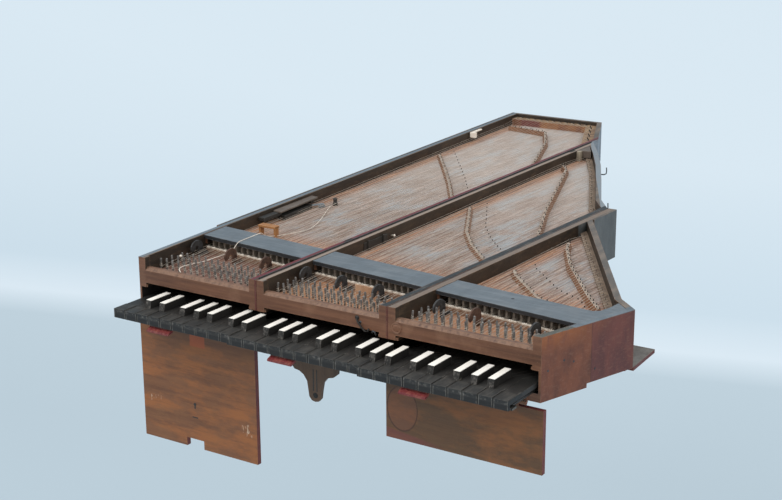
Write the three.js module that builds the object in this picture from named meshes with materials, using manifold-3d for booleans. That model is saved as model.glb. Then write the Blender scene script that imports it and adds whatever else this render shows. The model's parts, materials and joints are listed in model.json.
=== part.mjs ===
// A folding travelling harpsichord in three sections, opened for playing.
// Millimetres, X to the treble, Y to the tail, Z up.
import * as THREE from "three";
import { mergeVertices } from "three/addons/utils/BufferGeometryUtils.js";
import Module from "manifold-3d";

const wasm = await Module();
wasm.setup();
const { Manifold, Mesh } = wasm;

// Case: outline in plan, measured from the fold line and the front
const rimHeight = 91;
const floorStep = 6;
const floorStepDepth = 82;
const wedgeDegrees = 2.6;
const cheekDegrees = 18.2;
const sectionWidth = 228;
const trebleExtraWidth = 11;
const sectionGap = 1;
const tailDepth = 1321;
const tailWidth = 217;
const foldWallLength = 1154;
const middleWallLength = 1128;
const swingWallLength = 647;
const cheekDepth = 168;
const cheekCornerRun = 35;
const cheekCornerRise = 33;
const swingBlockRun = 80;
const wall = 10;
const swingWall = 12;
const swingBlockWidth = 17;
const postWidth = 13;
const originFromFold = 120;
const originFromFront = 41;

// Fits
const seat = 0.3;
const slideGap = 0.5;
const overrun = 5;
const weld = 1;

// Bottom boards and key well
const floorTop = 12;
const wellTop = 44;
const wellDepth = 122;
const wellWall = 3.5;
const bottomBoardHeight = 5.5;
const bottomBoardRun = 88;
const bottomBoardReach = 5;

// Front rail across the strings' end
const frontRailBottom = 51;
const frontRailTop = 75;
const frontRailThickness = 11;
const frontRailBevel = 4;

// Wrestplank, the cleats under it and the tuning pins
const wrestplankTop = 62;
const wrestplankThickness = 14;
const cleatWidth = 5;
const pinRowShares = [0.16, 0.3, 0.44];
const pinHalfWidth = 1;
const pinHalfDepth = 1.6;
const pinHeight = 22;

// The gap for the jacks slants across the sections
const gapAtFoldLine = 135;
const gapSlope = 0.108;
const gapWidth = 40;

// Belly rail, liner and soundboard
const bellyRailThickness = 14;
const soundboardTop = 70;
const soundboardThickness = 3;
const linerWidth = 9;
const linerHeight = 12;

// Jack rail
const jackRailThickness = 6;
const jackRailDrop = 0.6;
const jackRailOverhang = 8;
const jackRailWidth = 58;
const jackRailWidening = 50;
const railBlockWidth = 4;
const railBlockHeight = 9;

// Register and jacks
const registerThickness = 6;
const registerEndGap = 2;
const jackWidth = 3;
const jackDepth = 12;
const jackRowInset = 11;
const jackRowPitch = 17;
const jackTopGap = 6;
const keyRest = 0.3;
const raisedJackGap = 8;

// Keys
const gridShare = 0.099623;
const firstEdgeShare = 0.865789;
const keyProjection = 68;
const headLength = 27;
const sharpLength = 48.5;
const sharpWidth = 9.6;
const sharpTop = 39.6;
const sharpSlope = 3;
const naturalTop = 27.6;
const keyThickness = 7;
const arcadeDrop = 6.6;
const arcadeThickness = 4;
const keyGap = 0.6;
const tailStart = 12;
const leverStart = 40;
const leverOvershoot = 3;
const sharpOffsetShares = [-0.0995, 0.099, null, -0.156, 0.03, 0.133, null];

// Key frame
const frameThickness = 3;
const frameArmWidth = 9;
const frameSetback = 8;
const frameRailDepth = 12;
const balanceDepth = 30;
const balanceRidge = 3;
const tabWidth = 42;
const tabThickness = 3;
const tabDrop = 11;
const middlePull = 4;
const treblePull = 9;

// Bridges, nuts and strings
const bridgeWidth = 11;
const bridgeTopWidth = 5;
const bridgeHeight = 10;
const octaveBridgeHeight = 6;
const nutHeight = 15;
const nutWidth = 7;
const nutOffset = 4;
const stringRadius = 0.35;
const stringRise = 12.5;
const bridgeClearance = 0.6;
const hitchRailWidth = 24;
const hitchRailHeight = 5;
const tailRailHeight = 14;
const stringLift = 1.25;
const hitchPlaceShare = 0.5;
const narrowHitchRail = 12;
const octaveHitchRun = 60;
const choirShares = [0.08, 0.6, 0.88];
const jackShare = 0.34;

// Stop levers
const leverThickness = 2;
const leverBarHeight = 4;
const leverBarLength = 18;
const leverPivotRadius = 1.5;
const leverPivotInset = 11;
const leverBossRadius = 3.2;
const leverLobeLength = 22;
const leverLobeHeight = 18;
const leverTop = 88.5;
const leverLegWidth = 8;
const lobeSides = 12;

// Flaps, tongue and their hinge lines
const flapThickness = 8;
const flapHingeAhead = 3;
const flapHingeDrop = 3;
const flapTopDrop = 8;
const bassFlapHeight = 192;
const trebleFlapHeight = 91;
const flapSideInset = 2;
const trebleFlapOverhang = 8;
const flapNotchFromFold = 141;
const flapNotchWidth = 34;
const flapNotchHeight = 14;
const flapHingeLength = 30;
const flapHingeRadius = 3;
const hingeLeafHeight = 12;
const hingeLeafThickness = 1.2;
const hingeLeafInset = 34;
const tongueThickness = 5;
const tongueFromFold = 62;
const tongueWidth = 86;
const tongueHeight = 66;

// Spine lip, swing pivot and fold rod
const lipThickness = 5;
const lipHeight = 22;
const lipFront = 205;
const pivotPinRadius = 2.5;
const pivotBeyondWall = 8;
const pivotIntoTreble = 4;
const knuckleRadius = 5;
const knuckleHeight = 16;
const knuckleBase = 22;
const foldRodRadius = 1.2;
const foldAxisRise = 0.4;
const foldRodInset = 8;
const roundSides = 12;
const smallSides = 8;

const wedgeSlope = Math.tan(THREE.MathUtils.degToRad(wedgeDegrees));
const cheekSlope = Math.tan(THREE.MathUtils.degToRad(cheekDegrees));
const halfGap = sectionGap / 2;
const trebleWidth = sectionWidth + trebleExtraWidth;
const bentsideEnd = swingWallLength - swingBlockRun;
const naturalGrid = sectionWidth * gridShare;
const firstNaturalEdge = -sectionWidth * firstEdgeShare;
const keyBottom = naturalTop - keyThickness;
const frameBottom = floorTop + seat;
const frameTop = frameBottom + frameThickness;
const wrestplankBottom = wrestplankTop - wrestplankThickness;
const cleatTop = wrestplankBottom - seat;
const soundboardBottom = soundboardTop - soundboardThickness;
const linerTop = soundboardBottom - seat;
const railTop = rimHeight - jackRailDrop;
const railBottom = railTop - jackRailThickness;
const pivotX = sectionWidth + swingWallLength * wedgeSlope + pivotIntoTreble;
const pivotY = swingWallLength + pivotBeyondWall;

const spineX = (y) => -sectionWidth - y * wedgeSlope;
const swingX = (y) => sectionWidth + y * wedgeSlope;
const cheekX = (y) => sectionWidth + trebleWidth + y * cheekSlope;
const gapFrontY = (x) => gapAtFoldLine - x * gapSlope;
const gapBackY = (x) => gapFrontY(x) + gapWidth;

// A closed geometry as a solid that can be cut and joined
function solid(geometry) {
  const loose = geometry.index ? geometry.toNonIndexed() : geometry;
  const bare = new THREE.BufferGeometry();
  bare.setAttribute("position", loose.getAttribute("position"));
  const merged = mergeVertices(bare, 1e-4);
  const mesh = new Mesh({
    numProp: 3,
    vertProperties: new Float32Array(merged.attributes.position.array),
    triVerts: new Uint32Array(merged.index.array),
  });
  return new Manifold(mesh);
}

const join = (pieces) => Manifold.union(pieces);
const cut = (body, tools) => body.subtract(Manifold.union(tools));

function shapeOf(points) {
  return new THREE.Shape(points.map(([x, y]) => new THREE.Vector2(x, y)));
}

// An outline in plan, raised from one height to another
function slab(points, bottom, top) {
  const depth = top - bottom;
  const raised = new THREE.ExtrudeGeometry(shapeOf(points), { depth, bevelEnabled: false });
  raised.translate(0, 0, bottom);
  return solid(raised);
}

// A side view in Y and Z, run along X
function sideRun(points, left, right) {
  const depth = right - left;
  const run = new THREE.ExtrudeGeometry(shapeOf(points), { depth, bevelEnabled: false });
  const turn = new THREE.Matrix4().makeBasis(
    new THREE.Vector3(0, 1, 0),
    new THREE.Vector3(0, 0, 1),
    new THREE.Vector3(1, 0, 0),
  );
  run.applyMatrix4(turn);
  run.translate(left, 0, 0);
  return solid(run);
}

// A front view in X and Z, run along Y
function frontRun(points, front, back) {
  const depth = back - front;
  const run = new THREE.ExtrudeGeometry(shapeOf(points), { depth, bevelEnabled: false });
  const turn = new THREE.Matrix4().makeBasis(
    new THREE.Vector3(1, 0, 0),
    new THREE.Vector3(0, 0, 1),
    new THREE.Vector3(0, -1, 0),
  );
  run.applyMatrix4(turn);
  run.translate(0, back, 0);
  return solid(run);
}

const rectangle = (x0, x1, y0, y1) => [[x0, y0], [x1, y0], [x1, y1], [x0, y1]];
const block = (x0, x1, y0, y1, z0, z1) => slab(rectangle(x0, x1, y0, y1), z0, z1);

// An outline moved inwards, each side by its own distance
function inset(points, distances) {
  const lines = points.map((p, i) => {
    const q = points[(i + 1) % points.length];
    const along = new THREE.Vector2(q[0] - p[0], q[1] - p[1]).normalize();
    const inward = new THREE.Vector2(-along.y, along.x).multiplyScalar(distances[i]);
    return { x: p[0] + inward.x, y: p[1] + inward.y, along };
  });
  return lines.map((b, i) => {
    const a = lines[(i + lines.length - 1) % lines.length];
    const spread = a.along.x * b.along.y - a.along.y * b.along.x;
    const reach = ((b.x - a.x) * b.along.y - (b.y - a.y) * b.along.x) / spread;
    return [a.x + a.along.x * reach, a.y + a.along.y * reach];
  });
}

// A ring of corners below and a like one above, with straight sides
function loft(lower, upper, bottom, top) {
  const corners = [];
  const at = (ring, z, i) => [ring[i % ring.length][0], ring[i % ring.length][1], z];
  lower.forEach((_, i) => {
    corners.push(at(lower, bottom, i), at(lower, bottom, i + 1), at(upper, top, i + 1));
    corners.push(at(lower, bottom, i), at(upper, top, i + 1), at(upper, top, i));
  });
  const flat = (ring) => ring.map(([x, y]) => new THREE.Vector2(x, y));
  THREE.ShapeUtils.triangulateShape(flat(upper), []).forEach(([a, b, c]) => {
    corners.push(at(upper, top, a), at(upper, top, b), at(upper, top, c));
    corners.push(at(lower, bottom, c), at(lower, bottom, b), at(lower, bottom, a));
  });
  const body = new THREE.BufferGeometry();
  body.setAttribute("position", new THREE.Float32BufferAttribute(corners.flat(), 3));
  return solid(body);
}

// The two edges of a strip of even width along a path, as one outline
function ribbon(path, width) {
  const side = (half) => path.map((p, i) => {
    const a = path[Math.max(i - 1, 0)];
    const b = path[Math.min(i + 1, path.length - 1)];
    const along = new THREE.Vector2(b[0] - a[0], b[1] - a[1]).normalize();
    return [p[0] - along.y * half, p[1] + along.x * half];
  });
  return [...side(-width / 2), ...side(width / 2).reverse()];
}

// A wire of three sides through points that run towards the tail
function wire(points, radius) {
  const ring = ([x, y, z]) => [
    [x + radius, y, z - radius / 2],
    [x, y, z + radius],
    [x - radius, y, z - radius / 2],
  ];
  const rings = points.map(ring);
  const corners = [];
  rings.slice(1).forEach((far, i) => {
    const near = rings[i];
    near.forEach((_, k) => {
      const n = (k + 1) % near.length;
      corners.push(near[k], far[n], near[n]);
      corners.push(near[k], far[k], far[n]);
    });
  });
  const [a, b, c] = rings[0];
  const [e, f, g] = rings[rings.length - 1];
  corners.push(a, b, c, e, g, f);
  const body = new THREE.BufferGeometry();
  body.setAttribute("position", new THREE.Float32BufferAttribute(corners.flat(), 3));
  return solid(body);
}

const finishes = {
  case_wood: [0x6b4435, 0.6],
  inner_wood: [0x8a5c3c, 0.7],
  soundboard_wood: [0xa08c84, 0.75],
  bridge_wood: [0x8b6a50, 0.6],
  dark_paint: [0x6f7f8c, 0.5],
  key_black: [0x2e2f2e, 0.5],
  jack_wood: [0xb59a80, 0.6],
  iron: [0x4a4b4a, 0.5],
  wire_metal: [0xb8a888, 0.35],
  flap_wood: [0x7a5238, 0.6],
};
const materials = Object.fromEntries(
  Object.entries(finishes).map(([name, [color, roughness]]) => [
    name,
    new THREE.MeshStandardMaterial({ name, color, roughness }),
  ]),
);

const group = new THREE.Group();
group.name = "harpsichord";

function add(name, body, finish) {
  const { vertProperties, triVerts } = body.getMesh();
  const geometry = new THREE.BufferGeometry();
  geometry.setAttribute("position", new THREE.BufferAttribute(vertProperties, 3));
  geometry.setIndex(new THREE.BufferAttribute(triVerts, 1));
  geometry.computeVertexNormals();
  geometry.translate(originFromFold, -originFromFront, 0);
  const mesh = new THREE.Mesh(geometry, materials[finish]);
  mesh.name = name;
  group.add(mesh);
}

// The outline of each section, from its front left corner round by the right
const bassOutline = [
  [spineX(0), 0],
  [-halfGap, 0],
  [-halfGap, foldWallLength],
  [spineX(tailDepth) + tailWidth, tailDepth],
  [spineX(tailDepth), tailDepth],
];

const middleTailShares = [[0, 0], [0.128, 0.096], [0.377, 0.378], [0.588, 0.611], [0.786, 0.807], [1, 1]];
const middleTail = middleTailShares.map(([across, along]) => [
  THREE.MathUtils.lerp(swingX(swingWallLength) - halfGap, halfGap, across),
  THREE.MathUtils.lerp(swingWallLength, middleWallLength, along),
]);
const middleOutline = [
  [halfGap, 0],
  [swingX(0) - halfGap, 0],
  ...middleTail,
];

const cheekBack = [cheekX(cheekDepth), cheekDepth];
const cheekCorner = [cheekBack[0] - cheekCornerRun, cheekBack[1] + cheekCornerRise];
const bentsideMeets = swingX(bentsideEnd) + halfGap + swingWall;
const bentsideSlope = (bentsideEnd - cheekCorner[1]) / (cheekCorner[0] - bentsideMeets);
const bentsideApex = bentsideEnd + swingWall * bentsideSlope;
const trebleOutline = [
  [swingX(0) + halfGap, 0],
  [cheekX(0), 0],
  cheekBack,
  cheekCorner,
  [swingX(bentsideApex) + halfGap, bentsideApex],
];

const sections = [
  {
    name: "bass",
    outline: bassOutline,
    walls: [-overrun, wall, wall, wall, wall],
    leftX: spineX,
    rightX: () => -halfGap,
    wellSkins: [wellWall, -overrun],
    headSpan: [spineX(0) + wellWall + slideGap, -halfGap],
    cellSpan: [spineX(0) + wall + cleatWidth + weld, -halfGap - wall - cleatWidth - weld],
    slopes: [-wedgeSlope, 0],
    naturals: [-1, 8],
    firstSharp: -1,
    pull: 0,
    leverCells: [0, 6, 12],
    tabPlaceShare: 0.41,
    longShares: [[0.06, 0.921], [0.45, 0.904], [0.64, 0.822], [0.88, 0.718], [0.98, 0.696]],
    octaveShares: [[0.04, 0.641], [0.33, 0.555], [0.61, 0.474], [0.86, 0.416], [0.98, 0.406]],
    depth: tailDepth,
    hitchSides: [2, 3],
    hitchWidth: hitchRailWidth,
    hitchHeight: tailRailHeight,
    freeEnds: [true, false],
    moving: [0, -1],
  },
  {
    name: "middle",
    outline: middleOutline,
    walls: [-overrun, wall, ...middleTail.map(() => wall)],
    leftX: () => halfGap,
    rightX: (y) => swingX(y) - halfGap,
    wellSkins: [-overrun, -overrun],
    headSpan: [halfGap, swingX(0) + halfGap / 2],
    cellSpan: [halfGap + wall + cleatWidth + weld, swingX(0) - halfGap - wall - cleatWidth - weld],
    slopes: [0, wedgeSlope],
    naturals: [9, 18],
    firstSharp: 8,
    pull: middlePull,
    leverCells: [0, 6, 12],
    tabPlaceShare: 0.42,
    longShares: [[0.04, 0.844], [0.12, 0.846], [0.44, 0.744], [0.6, 0.688], [0.91, 0.595], [0.98, 0.562]],
    octaveShares: [[0.03, 0.446], [0.15, 0.417], [0.39, 0.353], [0.61, 0.319], [0.87, 0.291], [0.98, 0.275]],
    depth: middleWallLength,
    hitchSides: [2, middleTail.length],
    hitchWidth: narrowHitchRail,
    hitchHeight: hitchRailHeight,
    freeEnds: [false, false],
    moving: [14, 18],
  },
  {
    name: "treble",
    outline: trebleOutline,
    walls: [-overrun, wall, wall, wall, swingWall],
    leftX: (y) => swingX(y) + halfGap,
    rightX: cheekX,
    wellSkins: [-overrun, wellWall],
    headSpan: [swingX(0) + sectionGap, cheekX(0) - wellWall - slideGap],
    cellSpan: [swingX(wellDepth) + swingWall + cleatWidth + weld, cheekX(0) - wall + cleatWidth],
    slopes: [wedgeSlope, wedgeSlope],
    naturals: [19, 28],
    firstSharp: 18,
    pull: treblePull,
    leverCells: [1, 6, 14],
    tabPlaceShare: 0.38,
    longShares: [[0.04, 0.782], [0.1, 0.746], [0.33, 0.674], [0.6, 0.618], [0.8, 0.542], [0.98, 0.451]],
    octaveShares: [[0.03, 0.358], [0.1, 0.324], [0.49, 0.199], [0.75, 0.16], [0.98, 0.186]],
    depth: swingWallLength,
    hitchSides: [2, 3],
    hitchWidth: narrowHitchRail,
    hitchHeight: hitchRailHeight,
    freeEnds: [false, true],
    moving: [0, -1],
  },
];

// Inner face of a section's right wall, and a place across its strings
const innerRight = (s, y) => s.rightX(y) - wall / Math.cos(THREE.MathUtils.degToRad(cheekDegrees));
const cellX = (s, share, y) =>
  THREE.MathUtils.lerp(s.cellSpan[0], s.cellSpan[1], share)
  + y * THREE.MathUtils.lerp(s.slopes[0], s.slopes[1], share);
// The far edge of an outline where a string of the section meets it
function farY(s, outline, share) {
  const hits = outline.flatMap(([x0, y0], i) => {
    const [x1, y1] = outline[(i + 1) % outline.length];
    const d0 = x0 - cellX(s, share, y0);
    const d1 = x1 - cellX(s, share, y1);
    return d0 * d1 < 0 ? [THREE.MathUtils.mapLinear(0, d0, d1, y0, y1)] : [];
  });
  return Math.max(...hits);
}

// The depth of a place on the soundboard: a share of the way to the far edge
const reachY = (s, across, along) =>
  THREE.MathUtils.lerp(gapBackY(cellX(s, across, gapAtFoldLine)), farY(s, s.outline, across), along);
const alongPath = (s, shares) => shares.map(([across, along]) => {
  const y = reachY(s, across, along);
  return [cellX(s, across, y), y];
});

// The depth of a path of shares at one place across the strings
function pathY(s, shares, share) {
  const last = shares.length - 1;
  const found = shares.findIndex(([across]) => across > share);
  const i = found < 0 ? last : Math.max(found, 1);
  const [a0, a1] = [shares[i - 1], shares[i]];
  return THREE.MathUtils.mapLinear(share, a0[0], a1[0], reachY(s, ...a0), reachY(s, ...a1));
}

// A strip across the section between two lines, kept inside its side walls
function acrossStrip(s, frontOf, backOf, side, bottom, top) {
  const x0 = Math.min(s.leftX(0), s.leftX(s.depth)) - wall;
  const x1 = s.rightX(wellDepth) + sectionWidth;
  const strip = slab([[x0, frontOf(x0)], [x1, frontOf(x1)], [x1, backOf(x1)], [x0, backOf(x0)]], bottom, top);
  return strip.intersect(slab(inset(s.outline, s.walls.map((w) => (w > 0 ? w - side : w))), 0, rimHeight));
}

// All that lies in front of the back of the jacks' gap
function frontOfGap(s, shift) {
  const x0 = s.leftX(s.depth) - sectionWidth;
  const x1 = s.rightX(0) + sectionWidth;
  const points = [[x0, -overrun], [x1, -overrun], [x1, gapBackY(x1) + shift], [x0, gapBackY(x0) + shift]];
  return slab(points, 0, rimHeight);
}

function hingeKnuckles(x, halves) {
  const third = flapHingeLength / 3;
  const spans = halves ? [[0, third - seat], [third * 2 + seat, third * 3]] : [[third, third * 2]];
  return spans.map(([from, to]) => {
    const round = new THREE.CylinderGeometry(flapHingeRadius, flapHingeRadius, to - from, roundSides);
    round.rotateZ(Math.PI / 2);
    round.translate(x + (from + to) / 2 - flapHingeLength / 2, -flapHingeAhead, -flapHingeDrop);
    return solid(round);
  });
}

// The case's half of a flap hinge: leaf on the front edge with two knuckles
function caseHinge(x) {
  const half = flapHingeLength / 2;
  const leaf = block(x - half, x + half, -hingeLeafThickness, weld, -flapHingeDrop, hingeLeafHeight - flapHingeDrop);
  const third = flapHingeLength / 3;
  const free = block(
    x - third / 2 - seat, x + third / 2 + seat,
    -flapHingeAhead * 2 - overrun, seat, -flapHingeDrop * 2 - overrun, seat,
  );
  return join([cut(leaf, [free]), ...hingeKnuckles(x, true)]);
}

function verticalRound(x, y, radius, bottom, top, sides = roundSides) {
  const round = new THREE.CylinderGeometry(radius, radius, top - bottom, sides);
  round.rotateX(Math.PI / 2);
  round.translate(x, y, (bottom + top) / 2);
  return solid(round);
}

// The case of a section: walls, bottom, front rail, belly rail, liners
function caseBody(s) {
  const outer = slab(s.outline, 0, rimHeight);
  const x0 = s.leftX(s.depth) - sectionWidth;
  const x1 = s.rightX(0) + sectionWidth;
  const inner = inset(s.outline, s.walls);
  const hollow = slab(inner, floorTop, rimHeight + overrun);
  const raised = block(x0, x1, floorStepDepth, tailDepth + overrun, -overrun, floorStep);
  const shell = cut(outer, [hollow, raised]);
  const liner = cut(slab(inset(s.outline, s.walls.map((w) => (w > 0 ? w - weld : w))), linerTop - linerHeight, linerTop), [
    slab(inset(s.outline, s.walls.map((w) => (w > 0 ? w + linerWidth : w - overrun))), 0, rimHeight),
    frontOfGap(s, 0),
  ]);
  const belly = acrossStrip(s, gapBackY, (x) => gapBackY(x) + bellyRailThickness, weld, cleatTop, linerTop);
  const cleats = cut(
    acrossStrip(s, () => weld, (x) => gapBackY(x) + bellyRailThickness, weld, wellTop - weld, cleatTop),
    [acrossStrip(s, () => -overrun, (x) => gapBackY(x) + bellyRailThickness + overrun, -cleatWidth, 0, rimHeight)],
  );
  const blocks = cut(
    acrossStrip(s, (x) => gapFrontY(x) - jackRailOverhang / 2, (x) => gapBackY(x), weld,
      railBottom - seat - railBlockHeight, railBottom - seat),
    [acrossStrip(s, () => -overrun, (x) => gapBackY(x) + bellyRailThickness, -railBlockWidth, 0, rimHeight)],
  );
  const bevel = frontRailTop - frontRailBevel;
  const railProfile = [
    [0, frontRailBottom],
    [frontRailThickness, frontRailBottom],
    [frontRailThickness, frontRailTop],
    [frontRailBevel, frontRailTop],
    [0, bevel],
  ];
  const frontRail = sideRun(railProfile, s.leftX(0) + weld, s.rightX(0) - weld);
  const posts = [
    block(s.leftX(0) + weld, s.leftX(0) + postWidth, 0, frontRailThickness, wellTop - weld, rimHeight),
    block(s.rightX(0) - postWidth, s.rightX(0) - weld, 0, frontRailThickness, wellTop - weld, rimHeight),
  ];
  const well = slab(
    [
      [s.leftX(-overrun) + s.wellSkins[0], -overrun],
      [s.rightX(-overrun) - s.wellSkins[1], -overrun],
      [s.rightX(wellDepth) - s.wellSkins[1], wellDepth],
      [s.leftX(wellDepth) + s.wellSkins[0], wellDepth],
    ],
    floorTop,
    wellTop,
  );
  const filled = join([shell, liner, belly, cleats, blocks, frontRail, ...posts]);
  return cut(filled, [well]);
}

const inChoir = (s, key, choir) => (key + choirShares[choir]) / s.count;

// Where the long and the octave strings of a section are hitched
const atTail = (s, side) => side >= s.hitchSides[0] && side <= s.hitchSides[1];
const longEnd = (s, share) => {
  const walls = s.walls.map((w, i) => (atTail(s, i) ? w + s.hitchWidth * hitchPlaceShare : -overrun));
  return [farY(s, inset(s.outline, walls), share), soundboardTop + s.hitchHeight + stringLift];
};
const octaveEnd = (s, share) => {
  const y = Math.min(pathY(s, s.octaveShares, share) + octaveHitchRun, pathY(s, s.longShares, share) - bridgeWidth * 1.5);
  return [y, soundboardTop + seat + stringRadius];
};

// The soundboard with its hitch rail
function soundboardBody(s) {
  const fit = inset(s.outline, s.walls.map((w) => (w > 0 ? w + seat : w)));
  const board = slab(fit, soundboardBottom, soundboardTop);
  const open = inset(s.outline, s.walls.map((w, i) => (atTail(s, i) ? w + s.hitchWidth : w + seat - overrun)));
  const rail = cut(slab(fit, soundboardTop - weld, soundboardTop + s.hitchHeight), [
    slab(open, 0, rimHeight),
    frontOfGap(s, bellyRailThickness),
  ]);
  return cut(join([board, rail]), [frontOfGap(s, 0)]);
}

// A bridge along its path, tapered upwards
function bridgeBody(s, shares, height) {
  const path = alongPath(s, shares);
  const foot = soundboardTop + seat;
  return loft(ribbon(path, bridgeWidth), ribbon(path, bridgeTopWidth), foot, soundboardTop + height);
}

const plankFront = frontRailThickness + seat;
const rowY = (x, row) => THREE.MathUtils.lerp(plankFront, gapFrontY(x), pinRowShares[row]);
const pinOffset = stringRadius + seat + pinHalfWidth;

function wrestplankBody(s) {
  const plank = acrossStrip(s, () => plankFront, (x) => gapFrontY(x), -seat, wrestplankBottom, wrestplankTop);
  const pins = s.keys.flatMap((_, key) => choirShares.map((_, choir) => {
    const share = inChoir(s, key, choir);
    const y = rowY(cellX(s, share, 0), choir);
    const x = cellX(s, share, y) - pinOffset;
    const bottom = wrestplankTop - weld;
    return block(
      x - pinHalfWidth, x + pinHalfWidth, y - pinHalfDepth, y + pinHalfDepth, bottom, wrestplankTop + pinHeight,
    );
  }));
  const pivots = s.leverCells.map((key) => {
    const [x, y] = leverPlace(s, key);
    return verticalRound(x, y, leverPivotRadius - seat, wrestplankTop - weld, wrestplankTop + leverBarHeight, smallSides);
  });
  return join([plank, ...pins, ...pivots]);
}

// Where a stop lever turns: behind its bar's end, between two strings
function leverPlace(s, key) {
  const share = (key + jackShare) / s.count;
  const y = gapFrontY(cellX(s, share, gapAtFoldLine)) - nutOffset - leverPivotInset;
  return [cellX(s, share, y), y];
}

// A stop lever on edge: bar, leg and rounded finger piece
function leverBody(s, key) {
  const [x, y] = leverPlace(s, key);
  const foot = wrestplankTop + seat;
  const barFront = y - leverBarLength;
  const half = leverThickness / 2;
  const bar = [
    [y, foot],
    [y, foot + leverBarHeight],
    [barFront, foot + leverBarHeight],
    [barFront, foot],
  ];
  const lobeY = barFront - leverLobeLength / 4;
  const lobeZ = leverTop - leverLobeHeight / 2;
  const lobe = Array.from({ length: lobeSides }, (_, i) => {
    const turn = (i / lobeSides) * Math.PI * 2;
    return [lobeY + Math.cos(turn) * leverLobeLength / 2, lobeZ + Math.sin(turn) * leverLobeHeight / 2];
  });
  const leg = [
    [barFront, foot],
    [barFront + leverLegWidth, foot],
    [barFront + leverLegWidth, lobeZ],
    [barFront - leverLegWidth / 2, lobeZ],
  ];
  const plates = [bar.reverse(), lobe, leg].map((points) => sideRun(points, x - half, x + half));
  const boss = verticalRound(x, y, leverBossRadius, foot, foot + leverBarHeight, smallSides);
  const bore = verticalRound(x, y, leverPivotRadius, wrestplankTop, foot + leverBarHeight + overrun, smallSides);
  const flat = cut(join([...plates, boss]), [bore]);
  const share = (key + jackShare) / s.count;
  const slope = THREE.MathUtils.lerp(s.slopes[0], s.slopes[1], share);
  const turn = -THREE.MathUtils.radToDeg(Math.atan(slope));
  return flat.translate(-x, -y, 0).rotate(0, 0, turn).translate(x, y, 0);
}

// The strings of a section with the nut that they lie over
function stringsBody(s) {
  const nutTop = wrestplankTop + nutHeight;
  const nut = acrossStrip(
    s,
    (x) => gapFrontY(x) - nutOffset - nutWidth,
    (x) => gapFrontY(x) - nutOffset,
    -cleatWidth,
    wrestplankTop + seat,
    nutTop,
  );
  const wires = s.keys.flatMap((_, key) => choirShares.map((_, choir) => {
    const share = inChoir(s, key, choir);
    const octave = choir > 1;
    const x = cellX(s, share, 0);
    const height = octave ? octaveBridgeHeight : bridgeHeight;
    const [endY, endZ] = octave ? octaveEnd(s, share) : longEnd(s, share);
    const places = [
      [rowY(x, choir) - pinHalfDepth, wrestplankTop + stringRise],
      [pathY(s, octave ? s.octaveShares : s.longShares, share), soundboardTop + height + bridgeClearance + stringRadius],
      [endY, endZ],
    ];
    return wire(places.map(([y, z]) => [cellX(s, share, y), y, z]), stringRadius);
  }));
  return join([nut, ...wires]);
}

function registerBody(s) {
  const strip = acrossStrip(
    s,
    (x) => gapFrontY(x) + seat,
    (x) => gapBackY(x) - seat,
    -registerEndGap,
    wrestplankBottom,
    wrestplankBottom + registerThickness,
  );
  const slots = [];
  const jacks = [];
  s.keys.forEach((key, i) => {
    const share = (i + jackShare) / s.count;
    [0, 1].forEach((row) => {
      const y = gapFrontY(cellX(s, share, gapAtFoldLine)) + jackRowInset + row * jackRowPitch;
      const x = cellX(s, share, y);
      const rise = row > 0 && key.moves ? raisedJackGap : 0;
      const bottom = naturalTop + keyRest;
      const jack = (grow, from, to) => block(
        x - jackWidth / 2 - grow, x + jackWidth / 2 + grow,
        y - jackDepth / 2 - grow, y + jackDepth / 2 + grow, from, to,
      );
      if (row === 0 && key.moves) {
        slots.push(jack(slideGap, bottom, rimHeight));
        key.jack = jack(0, bottom, railBottom - jackTopGap);
      } else {
        jacks.push(jack(0, bottom + rise, railBottom - jackTopGap));
      }
    });
  });
  return join([cut(strip, slots.length ? slots : [block(0, weld, 0, weld, 0, weld)]), ...jacks]);
}

const lastNatural = Math.max(...sections.map((s) => s.naturals[1]));

// Keys of a section in the order of their places, with their outlines
function layKeys(s) {
  const keys = [];
  const edge = (n) => firstNaturalEdge + n * naturalGrid;
  const step = (n) => ((n % 7) + 7) % 7;
  const sharpX = (n) => edge(n + 1) + sharpOffsetShares[step(n)] * naturalGrid;
  const hasSharp = (n) => sharpOffsetShares[step(n)] !== null && n >= -1;
  const [low, high] = s.headSpan;
  for (let n = s.firstSharp; n < s.naturals[1]; n += 1) {
    if (hasSharp(n)) {
      const x = sharpX(n);
      keys.push({ sharp: true, x, tail: [x - sharpWidth / 2, x + sharpWidth / 2], step: step(n), natural: n });
    }
  }
  for (let n = s.naturals[0]; n <= s.naturals[1]; n += 1) {
    const [first, last] = s.naturals;
    const head = [
      (n === first && !s.freeEnds[0] ? low : edge(n)) + keyGap / 2,
      (n === last && !s.freeEnds[1] ? high : edge(n + 1)) - keyGap / 2,
    ];
    const left = hasSharp(n - 1) ? sharpX(n - 1) + sharpWidth / 2 + keyGap : head[0];
    const right = hasSharp(n) && n < lastNatural ? sharpX(n) - sharpWidth / 2 - keyGap : head[1];
    const tail = [Math.max(left, head[0]), Math.min(right, head[1])];
    keys.push({ sharp: false, x: (tail[0] + tail[1]) / 2, head, tail, step: step(n), natural: n });
  }
  keys.sort((a, b) => a.x - b.x);
  return keys;
}

const keyNames = ["c", "d", "e", "f", "g", "a", "b"];
sections.forEach((s) => {
  s.keys = layKeys(s);
  s.count = s.keys.length;
  s.keys.forEach((key) => {
    const [from, to] = s.moving;
    key.moves = key.natural >= from && key.natural <= to && !(key.sharp && key.natural === to);
    key.name = keyNames[key.step] + (key.sharp ? "_sharp" : "") + "_3";
  });
});

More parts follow.
